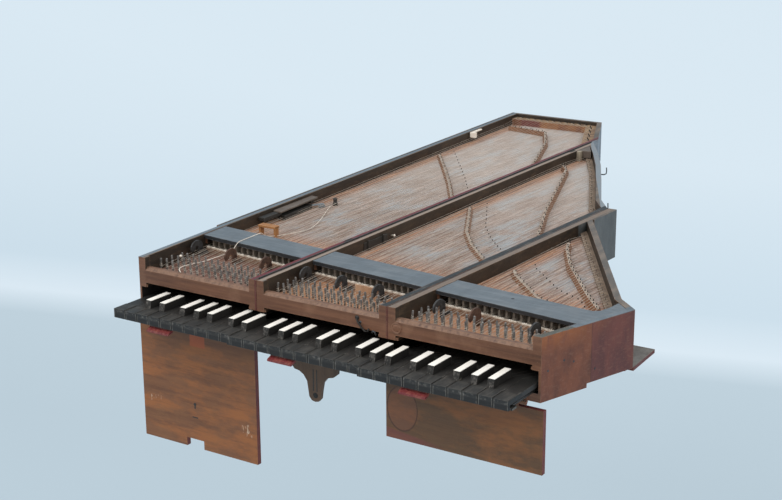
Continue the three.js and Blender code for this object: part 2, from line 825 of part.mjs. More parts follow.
// One key: head and tail, slanting part and lever under the jacks
function keyBody(s, key, i) {
  const front = -keyProjection - s.pull;
  const headBack = front + headLength;
  const share = (i + 0.5) / s.count;
  const pitch = (s.cellSpan[1] - s.cellSpan[0]) / s.count;
  const jackLine = gapFrontY(cellX(s, share, gapAtFoldLine)) + jackRowInset + jackRowPitch;
  const end = jackLine + jackDepth / 2 + leverOvershoot;
  const x = cellX(s, share, jackLine);
  const back = [x - (pitch - keyGap) / 2, x + (pitch - keyGap) / 2];
  const [l, r] = key.tail;
  const slantFront = tailStart - s.pull;
  const slantBack = leverStart - s.pull;
  const rear = [[r, slantFront], [back[1], slantBack], [back[1], end], [back[0], end], [back[0], slantBack], [l, slantFront]];
  const pieces = [];
  if (key.sharp) {
    const sharpFront = headBack + keyGap;
    pieces.push(slab([[l, sharpFront], [r, sharpFront], ...rear], keyBottom, naturalTop));
    const sharpBack = headBack + sharpLength;
    const profile = [
      [sharpFront, naturalTop - weld],
      [sharpBack, naturalTop - weld],
      [sharpBack, sharpTop],
      [sharpFront + sharpSlope, sharpTop],
    ];
    pieces.push(sideRun(profile, l, r));
  } else {
    const [a, b] = key.head;
    pieces.push(slab([[a, front], [b, front], [b, headBack], [r, headBack], ...rear, [l, headBack], [a, headBack]],
      keyBottom, naturalTop));
    pieces.push(block(a, b, front, front + arcadeThickness, keyBottom - arcadeDrop, keyBottom + weld));
  }
  return join(pieces);
}

// The middle of a key where it lies on the balance rail
function placeAtBalance(s, i) {
  const { tail } = s.keys[i];
  const share = (balanceDepth - tailStart) / (leverStart - tailStart);
  return THREE.MathUtils.lerp((tail[0] + tail[1]) / 2, cellX(s, (i + 0.5) / s.count, gapAtFoldLine), share);
}

function keyboardBody(s) {
  const front = -keyProjection - s.pull;
  const frameFront = front + frameSetback;
  const balance = balanceDepth - s.pull;
  const ends = s.keys.map((_, i) => (
    gapFrontY(cellX(s, (i + 0.5) / s.count, gapAtFoldLine)) + jackRowInset + jackRowPitch + jackDepth / 2
  ));
  const back = Math.min(...ends);
  const left = Math.max(cellX(s, 0, 0), cellX(s, 0, back));
  const right = Math.min(cellX(s, 1, 0), innerRight(s, 0) - slideGap);
  const [low, high] = s.headSpan;
  const rail = (y, depth, x0, x1, top) => block(x0, x1, y, y + depth, frameBottom, top);
  const ridgeTop = keyBottom - seat;
  const pieces = [
    block(left, left + frameArmWidth, frameFront, back, frameBottom, frameTop),
    block(right - frameArmWidth, right, frameFront, back, frameBottom, frameTop),
    rail(frameFront, frameRailDepth, low + keyGap, high - keyGap, frameTop),
    rail(balance - frameRailDepth / 2, frameRailDepth, low + keyGap, high - keyGap, frameTop),
    rail(balance - balanceRidge / 2, balanceRidge, low + keyGap, high - keyGap, ridgeTop),
    rail(back - frameRailDepth, frameRailDepth, left, right, frameTop),
  ];
  const fixed = s.keys.filter((key) => !key.moves);
  const lastFixed = placeAtBalance(s, s.keys.indexOf(fixed[fixed.length - 1]));
  pieces.push(rail(balance - balanceRidge / 2, balanceRidge, low + keyGap, lastFixed, keyBottom + seat));
  s.keys.forEach((key, i) => {
    if (key.moves) return;
    pieces.push(keyBody(s, key, i));
  });
  const tabX = THREE.MathUtils.lerp(low, high, s.tabPlaceShare);
  const tabBottom = frameTop - tabDrop;
  const tabProfile = [
    [frameFront, tabBottom + tabThickness],
    [frameFront, frameBottom],
    [frameFront + weld, frameBottom],
    [frameFront + weld, frameTop],
    [frameFront - tabThickness, frameTop],
    [frameFront - tabThickness, tabBottom + tabThickness * 2],
    [front - tabThickness, tabBottom + tabThickness],
    [front - tabThickness, tabBottom],
  ];
  pieces.push(sideRun(tabProfile, tabX - tabWidth / 2, tabX + tabWidth / 2));
  return join(pieces);
}

// The jack rail: wider to the cheek in the treble
function jackRailBody(s) {
  const front = (x) => gapFrontY(x) - jackRailOverhang;
  const widening = s.name === "treble" ? jackRailWidening / trebleWidth : 0;
  const back = (x) => front(x) + jackRailWidth + (x - s.leftX(0)) * widening;
  return acrossStrip(s, front, back, -slideGap, railBottom, railTop);
}

// A flap hung below the front edge, with the middle knuckles of its hinges
function flapBody(left, right, height, thickness, hinges, tools) {
  const front = -flapHingeAhead * 2;
  const board = block(left, right, front, front + thickness, -flapTopDrop - height, -flapTopDrop);
  const third = flapHingeLength / 3;
  const leaves = hinges.flatMap((x) => [
    block(x - third / 2, x + third / 2, front, front + hingeLeafThickness * 2, -flapTopDrop - weld, -flapHingeDrop),
    ...hingeKnuckles(x, false),
  ]);
  return join([tools.length ? cut(board, tools) : board, ...leaves]);
}

const [bass, middle, treble] = sections;
const hingePlaces = (left, right) => [left + hingeLeafInset, right - hingeLeafInset];
const bassFlap = [spineX(0) + flapSideInset, -halfGap - flapSideInset];
const trebleFlap = [swingX(0) + halfGap + flapSideInset - sectionGap, cheekX(0) + trebleFlapOverhang];
const tongueLeft = tongueFromFold;
const tongueRight = tongueFromFold + tongueWidth;
const tongueMiddle = (tongueLeft + tongueRight) / 2;
bass.hinges = hingePlaces(...bassFlap);
middle.hinges = [tongueMiddle];
treble.hinges = [trebleFlap[0] + hingeLeafInset, cheekX(0) - hingeLeafInset];

const notchTop = -flapTopDrop - bassFlapHeight + flapNotchHeight;
const notch = block(
  -flapNotchFromFold, -flapNotchFromFold + flapNotchWidth,
  -flapHingeAhead * 2 - overrun, flapThickness + overrun,
  -flapTopDrop - bassFlapHeight - overrun, notchTop,
);

// Knuckles of the swing pivot: one on the middle section, two on the treble
function knuckle(level, toLeft) {
  const bottom = knuckleBase + level * (knuckleHeight + seat);
  const top = bottom + knuckleHeight;
  const wallX = swingX(swingWallLength);
  const near = toLeft ? wallX - wall : wallX + sectionGap;
  const far = toLeft ? wallX - halfGap : wallX + sectionGap + wall;
  const arm = slab(
    [
      [near, swingWallLength - weld],
      [far, swingWallLength - weld],
      [pivotX + knuckleRadius / 2, pivotY],
      [pivotX - knuckleRadius / 2, pivotY],
    ],
    bottom,
    top,
  );
  const bore = verticalRound(pivotX, pivotY, pivotPinRadius + seat, bottom - overrun, top + overrun);
  return cut(join([arm, verticalRound(pivotX, pivotY, knuckleRadius, bottom, top)]), [bore]);
}

// A groove for the fold rod along the top of the two walls that meet
const foldZ = rimHeight + foldAxisRise;
function foldRound(radius, from, to) {
  const round = new THREE.CylinderGeometry(radius, radius, to - from, roundSides);
  round.translate(0, (from + to) / 2, foldZ);
  return solid(round);
}
const foldGroove = foldRound(foldRodRadius + seat, -overrun, tailDepth);
const bottomBoard = slab(
  [
    [cheekBack[0] - wall, cheekBack[1] + bottomBoardReach],
    [cheekBack[0] - weld, cheekBack[1] + bottomBoardReach],
    [cheekBack[0] - bottomBoardReach, cheekBack[1] + bottomBoardRun],
    [cheekBack[0] - cheekCornerRun - bottomBoardReach, cheekBack[1] + bottomBoardRun],
    [cheekBack[0] - cheekCornerRun * 2, cheekBack[1] + cheekCornerRise],
  ],
  0,
  bottomBoardHeight,
);
const boardJoint = slab(
  [
    [cheekBack[0] - wall * 2, cheekBack[1] - wall],
    [cheekBack[0] - wall, cheekBack[1] - weld],
    [cheekBack[0] - cheekCornerRun, cheekBack[1] + cheekCornerRise - weld],
    [cheekBack[0] - cheekCornerRun * 2, cheekBack[1] + cheekCornerRise],
    [cheekBack[0] - cheekCornerRun * 2, cheekBack[1] - wall],
  ],
  0,
  floorStep + weld,
);

// The lip along the outside of the spine
const lip = slab(
  [
    [spineX(lipFront) - lipThickness, lipFront],
    [spineX(lipFront) + weld, lipFront],
    [spineX(tailDepth) + weld, tailDepth],
    [spineX(tailDepth) - lipThickness, tailDepth],
  ],
  rimHeight - lipHeight,
  rimHeight,
);

bass.extras = [lip];
bass.cuts = [foldGroove];
middle.extras = [knuckle(1, true)];
middle.cuts = [foldGroove];
const swingBlock = slab(
  [
    [swingX(bentsideEnd) + halfGap, bentsideEnd - weld],
    [swingX(bentsideEnd) + halfGap + swingBlockWidth, bentsideEnd - weld],
    [swingX(swingWallLength) + halfGap + swingBlockWidth, swingWallLength],
    [swingX(swingWallLength) + halfGap, swingWallLength],
  ],
  floorStep,
  rimHeight,
);
treble.extras = [swingBlock, knuckle(0, false), knuckle(2, false), bottomBoard, boardJoint];
treble.cuts = [];

sections.forEach((s) => {
  const { name } = s;
  const shell = join([caseBody(s), ...s.extras, ...s.hinges.map((x) => caseHinge(x))]);
  add(`${name}_case`, s.cuts.length ? cut(shell, s.cuts) : shell, "case_wood");
  add(`${name}_soundboard`, soundboardBody(s), "soundboard_wood");
  add(`${name}_long_bridge`, bridgeBody(s, s.longShares, bridgeHeight), "bridge_wood");
  add(`${name}_octave_bridge`, bridgeBody(s, s.octaveShares, octaveBridgeHeight), "bridge_wood");
  add(`${name}_wrestplank`, wrestplankBody(s), "inner_wood");
  add(`${name}_strings`, stringsBody(s), "wire_metal");
  add(`${name}_register`, registerBody(s), "jack_wood");
  add(`${name}_jack_rail`, jackRailBody(s), "dark_paint");
  add(`${name}_keyboard`, keyboardBody(s), "key_black");
  s.leverCells.forEach((key, i) => add(`${name}_stop_lever_${i + 1}`, leverBody(s, key), "iron"));
  s.keys.forEach((key, i) => {
    if (!key.moves) return;
    add(`key_${key.name}`, keyBody(s, key, i), "key_black");
    add(`jack_${key.name}`, key.jack, "jack_wood");
  });
});

add("bass_flap", flapBody(...bassFlap, bassFlapHeight, flapThickness, bass.hinges, [notch]), "flap_wood");
add("treble_flap", flapBody(...trebleFlap, trebleFlapHeight, flapThickness, treble.hinges, []), "flap_wood");
const tongueShares = [
  [0, 0], [0.02, 0.2], [0.1, 0.33], [0.2, 0.35], [0.29, 0.42], [0.36, 0.55], [0.38, 0.72], [0.4, 0.9], [0.45, 0.98],
  [0.52, 1], [0.59, 0.98], [0.64, 0.9], [0.66, 0.72], [0.69, 0.52], [0.78, 0.38], [0.9, 0.34], [0.99, 0.24], [1, 0],
];
const tonguePlate = frontRun(
  tongueShares.map(([across, down]) => [tongueLeft + tongueWidth * across, -flapTopDrop - tongueHeight * down]).reverse(),
  -flapHingeAhead * 2,
  -flapHingeAhead * 2 + tongueThickness,
);
const third = flapHingeLength / 3;
add("tongue", join([
  tonguePlate,
  block(
    tongueMiddle - third / 2, tongueMiddle + third / 2,
    -flapHingeAhead * 2, -flapHingeAhead * 2 + hingeLeafThickness * 2, -flapTopDrop - weld, -flapHingeDrop,
  ),
  ...hingeKnuckles(tongueMiddle, false),
]), "flap_wood");

add("fold_rod", foldRound(foldRodRadius, foldRodInset, middleWallLength - foldRodInset), "iron");
add("swing_pin", verticalRound(
  pivotX, pivotY, pivotPinRadius, knuckleBase - seat, knuckleBase + (knuckleHeight + seat) * 3,
), "iron");


export default group;
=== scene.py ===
"""Looks of a folding travelling harpsichord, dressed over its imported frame.

Lengths are millimetres of the instrument's plan unless a comment says metres. The plan's
zero is where the fold line meets the front of the case.
"""

import json
import logging
import math
import random
from collections.abc import Callable, Sequence
from dataclasses import dataclass
from enum import Enum
from functools import cached_property, partial, reduce

import bmesh
import bpy
from mathutils import Matrix, Vector

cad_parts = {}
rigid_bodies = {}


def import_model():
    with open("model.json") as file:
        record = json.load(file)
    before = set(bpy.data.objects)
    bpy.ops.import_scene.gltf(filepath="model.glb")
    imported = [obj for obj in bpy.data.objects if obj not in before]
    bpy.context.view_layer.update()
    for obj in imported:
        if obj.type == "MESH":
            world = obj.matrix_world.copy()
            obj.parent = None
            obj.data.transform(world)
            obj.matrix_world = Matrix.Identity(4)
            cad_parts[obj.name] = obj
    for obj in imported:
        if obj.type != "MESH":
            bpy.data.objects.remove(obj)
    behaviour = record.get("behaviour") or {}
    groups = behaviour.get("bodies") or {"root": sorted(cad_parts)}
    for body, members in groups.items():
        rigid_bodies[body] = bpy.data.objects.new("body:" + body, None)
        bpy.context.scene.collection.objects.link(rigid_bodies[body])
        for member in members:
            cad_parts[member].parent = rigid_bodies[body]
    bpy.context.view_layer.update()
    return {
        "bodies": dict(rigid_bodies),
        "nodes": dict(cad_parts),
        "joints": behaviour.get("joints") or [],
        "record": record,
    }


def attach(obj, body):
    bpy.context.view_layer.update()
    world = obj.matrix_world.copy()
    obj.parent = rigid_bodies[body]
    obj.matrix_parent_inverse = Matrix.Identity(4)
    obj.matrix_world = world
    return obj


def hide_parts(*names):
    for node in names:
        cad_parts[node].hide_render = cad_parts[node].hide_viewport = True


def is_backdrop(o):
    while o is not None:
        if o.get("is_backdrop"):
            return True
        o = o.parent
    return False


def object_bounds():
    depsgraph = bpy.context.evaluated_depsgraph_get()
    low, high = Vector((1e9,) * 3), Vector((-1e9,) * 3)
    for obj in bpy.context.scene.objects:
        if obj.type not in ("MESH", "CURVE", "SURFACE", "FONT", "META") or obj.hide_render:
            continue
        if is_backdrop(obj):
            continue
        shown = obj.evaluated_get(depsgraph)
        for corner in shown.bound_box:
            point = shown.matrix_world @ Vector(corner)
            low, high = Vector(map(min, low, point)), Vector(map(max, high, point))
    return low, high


LOG = logging.getLogger("harpsichord")
MM = 0.001
Span = tuple[float, float]
Place = tuple[float, float, float]
Outline = Sequence[Span]
Pieces = list[bpy.types.Object]
Socket = bpy.types.NodeSocket
UP = (0.0, 0.0, 1.0)
TO_PLAYER = (0.0, -1.0, 0.0)


def linear(code: str) -> tuple[float, float, float, float]:
    """Turns a hex sRGB colour into linear RGBA.

    Args:
        code: colour such as "#6b4035".

    Returns:
        Linear red, green, blue and alpha.
    """
    parts = [int(code[i : i + 2], 16) / 255 for i in (1, 3, 5)]
    return tuple(
        p / 12.92 if p <= 0.04045 else ((p + 0.055) / 1.055) ** 2.4 for p in parts
    ) + (1.0,)


@dataclass(frozen=True)
class Plan:
    """Sizes of the whole instrument that several of its sub-assemblies share."""

    fold_x: float = 120.0
    front_y: float = -41.0
    wedge: float = math.tan(math.radians(2.6))
    cheek: float = math.tan(math.radians(18.2))
    section: float = 228.0
    treble: float = 239.0
    gap_at_fold: float = 135.0
    gap_slope: float = 0.108
    rail_front: float = 11.3
    plank_top: float = 62.0
    board_top: float = 70.0
    natural: float = 22.714
    first_natural: float = -197.4
    sharp_front: float = -40.4
    sharp_length: float = 48.0
    sharp_width: float = 9.6
    sharp_top: float = 39.6

    def spine(self, y: float) -> float:
        """X of the spine's outer face at a depth."""
        return -self.section - y * self.wedge

    def swing(self, y: float) -> float:
        """X of the line between the middle and treble sections at a depth."""
        return self.section + y * self.wedge

    def cheek_x(self, y: float) -> float:
        """X of the cheek's outer face at a depth."""
        return self.section + self.treble + y * self.cheek

    def gap_front(self, x: float) -> float:
        """Y of the front edge of the jacks' gap at a place along the keys."""
        return self.gap_at_fold - x * self.gap_slope

    def at(self, x: float, y: float, z: float) -> Vector:
        """A point of the plan in metres, in the row frame."""
        return Vector(((x + self.fold_x) * MM, (y + self.front_y) * MM, z * MM))


PLAN = Plan()


class Choir(Enum):
    """The strings of one key: share of the key's width, and the pins' share of the plank."""

    FIRST = (0.08, 0.16)
    SECOND = (0.6, 0.3)
    OCTAVE = (0.88, 0.44)


def between(table: Outline, share: float) -> float:
    """A value of a table of (share, value) at any share, with its ends prolonged.

    Args:
        table: pairs in order of their shares.
        share: place looked up.

    Returns:
        The value there.
    """
    pairs = list(zip(table, table[1:]))
    (a, u), (b, v) = next((p for p in pairs if p[1][0] >= share), pairs[-1])
    return u + (v - u) * (share - a) / (b - a)


@dataclass(frozen=True)
class Section:
    """Strings, bridges, pins and keys of one section.

    Bridges and hitch rail are tables of a string's share of the section's width and the
    depth there. Accidentals are numbered by the natural at their left.
    """

    name: str
    cell: Span
    slopes: Span
    count: int
    long_bridge: tuple[Span, ...]
    octave_bridge: tuple[Span, ...]
    hitch: tuple[Span, ...]
    hitch_z: float
    centre: Span
    pull: float
    naturals: range
    fixed_sharps: tuple[int, ...]
    moving_sharps: tuple[tuple[int, str], ...] = ()
    octave_tail: float = 60.0
    octave_clearance: float = 16.5

    def x(self, share: float, y: float) -> float:
        """X of a string's line at a depth."""
        low, high = self.cell
        tilt = self.slopes[0] + (self.slopes[1] - self.slopes[0]) * share
        return low + (high - low) * share + y * tilt

    def strings(self) -> list[tuple[float, Choir]]:
        """Share of the width, and choir, of each of the section's strings."""
        return [((key + c.value[0]) / self.count, c) for key in range(self.count) for c in Choir]

    def pin_y(self, share: float, choir: Choir) -> float:
        """Depth of a string's tuning pin."""
        room = PLAN.gap_front(self.x(share, 0.0)) - PLAN.rail_front
        return PLAN.rail_front + room * choir.value[1]

    def bridge_y(self, share: float, choir: Choir) -> float:
        """Depth at which a string crosses its bridge."""
        return between(self.octave_bridge if choir is Choir.OCTAVE else self.long_bridge, share)

    def end_y(self, share: float, choir: Choir) -> float:
        """Depth of a string's far end.

        Args:
            share: the string's share of the width.
            choir: its choir. Octave strings end short of the long bridge.

        Returns:
            The depth.
        """
        if choir is Choir.OCTAVE:
            behind = between(self.long_bridge, share) - self.octave_clearance
            return min(self.bridge_y(share, choir) + self.octave_tail, behind)
        return between(self.hitch, share) + (2.0 if choir is Choir.SECOND else -5.0)


BASS = Section(
    name="bass",
    cell=(-212.0, -16.5),
    slopes=(-PLAN.wedge, 0.0),
    count=16,
    long_bridge=((0.06, 1232), (0.45, 1212), (0.64, 1119), (0.88, 958), (0.98, 892)),
    octave_bridge=((0.04, 918), (0.33, 818), (0.61, 724), (0.86, 636), (0.98, 594)),
    hitch=((0.02, 1299), (0.73, 1299), (0.8, 1255), (0.98, 1147)),
    hitch_z=84.0,
    centre=(-130.0, 600.0),
    pull=0.0,
    naturals=range(-1, 9),
    fixed_sharps=(0, 1, 3, 4, 5, 7),
)
MIDDLE = Section(
    name="middle",
    cell=(16.5, 211.5),
    slopes=(0.0, PLAN.wedge),
    count=17,
    long_bridge=((0.04, 942), (0.12, 916), (0.44, 720), (0.6, 626), (0.91, 476), (0.98, 445)),
    octave_bridge=((0.03, 581), (0.15, 533), (0.39, 437), (0.61, 374), (0.87, 317), (0.98, 296)),
    hitch=((0.02, 1061), (0.1, 1029), (0.3, 941), (0.8, 710), (0.98, 648)),
    hitch_z=75.0,
    centre=(120.0, 400.0),
    pull=4.0,
    naturals=range(9, 19),
    fixed_sharps=(8, 10, 11, 12),
    moving_sharps=((14, "key_c_sharp"), (15, "key_d_sharp"), (17, "key_f_sharp")),
)
TREBLE = Section(
    name="treble",
    cell=(251.54, 462.0),
    slopes=(PLAN.wedge, PLAN.wedge),
    count=17,
    long_bridge=((0.04, 453), (0.1, 424), (0.33, 345), (0.6, 271), (0.8, 217), (0.98, 173)),
    octave_bridge=((0.03, 288), (0.1, 266), (0.49, 187), (0.75, 158), (0.98, 145)),
    hitch=((0.02, 516), (0.5, 360), (0.98, 204)),
    hitch_z=75.0,
    centre=(350.0, 150.0),
    pull=9.0,
    naturals=range(19, 29),
    fixed_sharps=(18, 19, 21, 22, 24, 25, 26),
)
SECTIONS = (BASS, MIDDLE, TREBLE)


class Node(Enum):
    """Shader nodes in use: type, settings, sockets that are filled in turn, and output."""

    COORDINATES = ("TexCoord", {}, (), "Object")
    GEOMETRY = ("NewGeometry", {}, (), "True Normal")
    RAY = ("LightPath", {}, (), "Is Camera Ray")
    PLACING = ("Mapping", {}, ("Vector", "Scale", "Rotation"), "Vector")
    SPLIT = ("SeparateXYZ", {}, (0,), 0)
    NOISE = ("TexNoise", {}, ("Vector", "Scale", "Detail", "Roughness"), "Fac")
    CHANCE = ("TexWhiteNoise", {"noise_dimensions": "1D"}, ("W",), "Value")
    RAMP = ("MapRange", {}, ("Value", "From Min", "From Max"), "Result")
    TIMES = ("Math", {"operation": "MULTIPLY"}, (0, 1), 0)
    PLUS = ("Math", {"operation": "ADD"}, (0, 1), 0)
    LESS = ("Math", {"operation": "SUBTRACT"}, (0, 1), 0)
    GREATER = ("Math", {"operation": "MAXIMUM"}, (0, 1), 0)
    WHOLE = ("Math", {"operation": "FLOOR"}, (0,), 0)
    REST = ("Math", {"operation": "FRACT"}, (0,), 0)
    UNSIGNED = ("Math", {"operation": "ABSOLUTE"}, (0,), 0)
    ROOT = ("Math", {"operation": "SQRT"}, (0,), 0)
    MIX = ("Mix", {"data_type": "RGBA"}, (0, 6, 7), 2)
    VECTOR_LESS = ("VectorMath", {"operation": "SUBTRACT"}, (0, 1), 0)
    VECTOR_TIMES = ("VectorMath", {"operation": "MULTIPLY"}, (0, 1), 0)
    VECTOR_DOT = ("VectorMath", {"operation": "DOT_PRODUCT"}, (0, 1), "Value")
    ROUNDED = ("Bevel", {"samples": 4}, ("Radius",), 0)
    BUMP = ("Bump", {}, ("Strength", "Distance", "Height"), 0)
    SURFACE = ("BsdfPrincipled", {}, ("Base Color", "Roughness", "Metallic", "Normal"), 0)
    GLOW = ("Emission", {}, ("Color",), 0)
    BACKGROUND = ("Background", {}, ("Color", "Strength"), 0)
    BLEND = ("MixShader", {}, (0, 1, 2), 0)
    MATERIAL_OUT = ("OutputMaterial", {}, ("Surface",), None)
    WORLD_OUT = ("OutputWorld", {}, ("Surface",), None)


Value = Socket | float | str | Sequence[float]
Factor = Socket | float | tuple[Socket, float, float]


class NodeTree:
    """The shader nodes of one material or world."""

    def __init__(self, owner: bpy.types.Material | bpy.types.World) -> None:
        """Empties the owner's node tree.

        Args:
            owner: material or world that the nodes belong to.
        """
        owner.use_nodes = True
        self.tree = owner.node_tree
        self.tree.nodes.clear()

    def add(self, kind: Node, *values: Value) -> Socket | None:
        """Adds a node with its settings and links.

        Args:
            kind: the node.
            values: for each of its sockets in turn a socket to link, a number, a vector
                or a hex colour.

        Returns:
            The node's output, or None if it has none.
        """
        node_type, settings, sockets, output = kind.value
        node = self.tree.nodes.new(f"ShaderNode{node_type}")
        for key, setting in settings.items():
            setattr(node, key, setting)
        for socket, value in zip(sockets, values):
            if isinstance(value, bpy.types.NodeSocket):
                self.tree.links.new(value, node.inputs[socket])
            else:
                plain = linear(value) if isinstance(value, str) else value
                node.inputs[socket].default_value = plain
        return None if output is None else node.outputs[output]

    @cached_property
    def source(self) -> bpy.types.bpy_prop_collection:
        """Outputs that give the object's own coordinates and normals."""
        return self.add(Node.COORDINATES).node.outputs

    @cached_property
    def place(self) -> list[Socket]:
        """The three parts of the object's own coordinates, in millimetres."""
        split = self.add(Node.SPLIT, self.source["Object"]).node
        return [self.add(Node.TIMES, part, 1 / MM) for part in split.outputs]

    @cached_property
    def normal(self) -> list[Socket]:
        """The three parts of the object's own normal."""
        return list(self.add(Node.SPLIT, self.source["Normal"]).node.outputs)

    def join(self, kind: Node, *factors: Factor) -> Socket:
        """Joins factors by one operation.

        Args:
            kind: TIMES where all of them are to hold, GREATER where any is, or PLUS.
            factors: sockets, numbers, or a socket with the two values between which it
                rises from 0 to 1. The first of these may be the larger.

        Returns:
            The joined factor.
        """
        made = [self.add(Node.RAMP, *f) if isinstance(f, tuple) else f for f in factors]
        return reduce(partial(self.add, kind), made)

    def lay(self, under: Value, paint: Value, *factors: Factor) -> Socket:
        """Lays a paint over a colour where every factor holds.

        Args:
            under: hex colour or socket below.
            paint: hex colour or socket on top.
            factors: as for join. A plain number thins the paint.

        Returns:
            The colour.
        """
        return self.add(Node.MIX, self.join(Node.TIMES, *factors), under, paint)

    def flip(self, *factors: Factor) -> Socket:
        """One less the product of some factors."""
        return self.add(Node.LESS, 1.0, self.join(Node.TIMES, *factors))

    def band(self, value: Socket, low: float, high: float, soft: float = 0.2) -> Socket:
        """A factor that is 1 between two bounds, soft by so much either way."""
        rising, falling = (value, low - soft, low + soft), (value, high + soft, high - soft)
        return self.join(Node.TIMES, rising, falling)

    def cloud(
        self,
        size: float,
        detail: float = 5.0,
        rough: float = 0.7,
        stretch: Place = (1.0, 1.0, 1.0),
        turn: float = 0.0,
    ) -> Socket:
        """A cloudy pattern.

        Args:
            size: width of its patches in millimetres.
            detail: how many finer patterns lie in it.
            rough: how strong those are.
            stretch: below 1 along the axes on which the patches are drawn out.
            turn: turn of the pattern about the vertical, in radians.

        Returns:
            The pattern as a factor.
        """
        where = self.add(Node.PLACING, self.source["Object"], stretch, (0.0, 0.0, turn))
        return self.add(Node.NOISE, where, 1 / (size * MM), detail, rough)

    def sloped(self, slope: float) -> Socket:
        """Depth in the plan plus a slope times the place along the keys."""
        x, y, _ = self.place
        shift = -PLAN.front_y - PLAN.fold_x * slope
        return self.join(Node.PLUS, self.add(Node.TIMES, x, slope), y, shift)

    def along(self, slope: float) -> Socket:
        """Place along the keys in the plan less a slope times the depth."""
        x, y, _ = self.place
        shift = -PLAN.fold_x + PLAN.front_y * slope
        return self.join(Node.PLUS, self.add(Node.TIMES, y, -slope), x, shift)

    def outward(self, centre: Span) -> Socket:
        """A factor that is 1 on upright faces turned away from a centre of the plan."""
        shift = self.add(Node.VECTOR_LESS, self.source["Object"], PLAN.at(*centre, 0.0))
        flat = self.add(Node.VECTOR_TIMES, shift, (1.0, 1.0, 0.0))
        dot = self.add(Node.VECTOR_DOT, flat, self.source["Normal"])
        return self.join(Node.TIMES, (dot, -MM, MM))

    def edges(self, radius: float) -> Socket:
        """A factor that is 1 along the edges of the shape."""
        rounded = self.add(Node.ROUNDED, radius * MM)
        dot = self.add(Node.VECTOR_DOT, rounded, self.add(Node.GEOMETRY))
        return self.join(Node.TIMES, (dot, 0.99, 0.88))

    def close(
        self,
        colour: Socket,
        gloss: Socket,
        rough: float,
        height: Socket,
        bump: float,
        metallic: float,
    ) -> None:
        """Ends a material with an uneven surface.

        Args:
            colour: its colour.
            gloss: pattern that varies its roughness.
            rough: mean roughness.
            height: pattern that raises it.
            bump: strength of that.
            metallic: share of bare metal.
        """
        uneven = self.add(Node.PLUS, self.add(Node.TIMES, gloss, 0.3), rough - 0.15)
        raised = self.add(Node.BUMP, bump, 0.6 * MM, height)
        self.add(Node.MATERIAL_OUT, self.add(Node.SURFACE, colour, uneven, metallic, raised))


Zones = Callable[[NodeTree, Socket], Socket]


class Grain(Enum):
    """Direction in which a wood's grain runs, as the stretch of its pattern."""

    ALONG_X = (0.06, 1.0, 1.0)
    ALONG_Y = (1.0, 0.06, 1.0)
    ALONG_Z = (1.0, 1.0, 0.06)


@dataclass(frozen=True)
class Wood:
    """A painted or bare wood with grain, stains and worn places.

    A real grain is 1 to 3 mm wide. Bands are drawn wider and the fibres in them at a
    quarter of that, so that both still show in the render.
    """

    name: str
    base: str
    dark: str
    worn: str
    grain: Grain = Grain.ALONG_Y
    band: float = 11.1
    streak: float = 0.45
    wear: float = 0.25
    edge: float = 0.5
    roughness: float = 0.55
    bump: float = 0.15
    stain_size: float = 45.5
    rub_size: float = 16.7
    speck_size: float = 2.38
    edge_radius: float = 1.6

    def material(self, zones: Zones | None = None) -> bpy.types.Material:
        """Builds the material.

        Args:
            zones: optional call that lays places of another paint over the wood.

        Returns:
            The finished material.
        """
        made = bpy.data.materials.new(self.name)
        t = NodeTree(made)
        fibres = t.cloud(self.band / 4, 6.0, 0.7, self.grain.value)
        bands = t.cloud(self.band, 3.0, 0.5, self.grain.value)
        stains = t.cloud(self.stain_size, 5.0, 0.65)
        specks = t.cloud(self.speck_size, 3.0)
        rubs = t.cloud(self.rub_size, 4.0)
        streaks = t.add(Node.TIMES, t.add(Node.PLUS, fibres, bands), 0.5)
        colour = t.lay(self.base, self.dark, (streaks, 0.38, 0.66), self.streak)
        colour = t.lay(colour, self.worn, (stains, 0.5, 0.72), self.wear)
        if zones:
            colour = zones(t, colour)
        colour = t.lay(colour, self.worn, t.edges(self.edge_radius), (rubs, 0.4, 0.6), self.edge)
        colour = t.lay(colour, self.worn, (specks, 0.6, 0.78), 0.3)
        height = t.add(Node.PLUS, fibres, specks)
        t.close(colour, stains, self.roughness, height, self.bump, 0.0)
        return made


@dataclass(frozen=True)
class Metal:
    """A worn metal with patches of tarnish."""

    name: str
    base: str
    tarnish: str
    roughness: float
    metallic: float = 0.8
    patch_size: float = 6.25

    def material(self) -> bpy.types.Material:
        """Builds the material."""
        made = bpy.data.materials.new(self.name)
        t = NodeTree(made)
        patches = t.cloud(self.patch_size)
        colour = t.lay(self.base, self.tarnish, (patches, 0.4, 0.7))
        t.close(colour, patches, self.roughness, patches, 0.1, self.metallic)
        return made


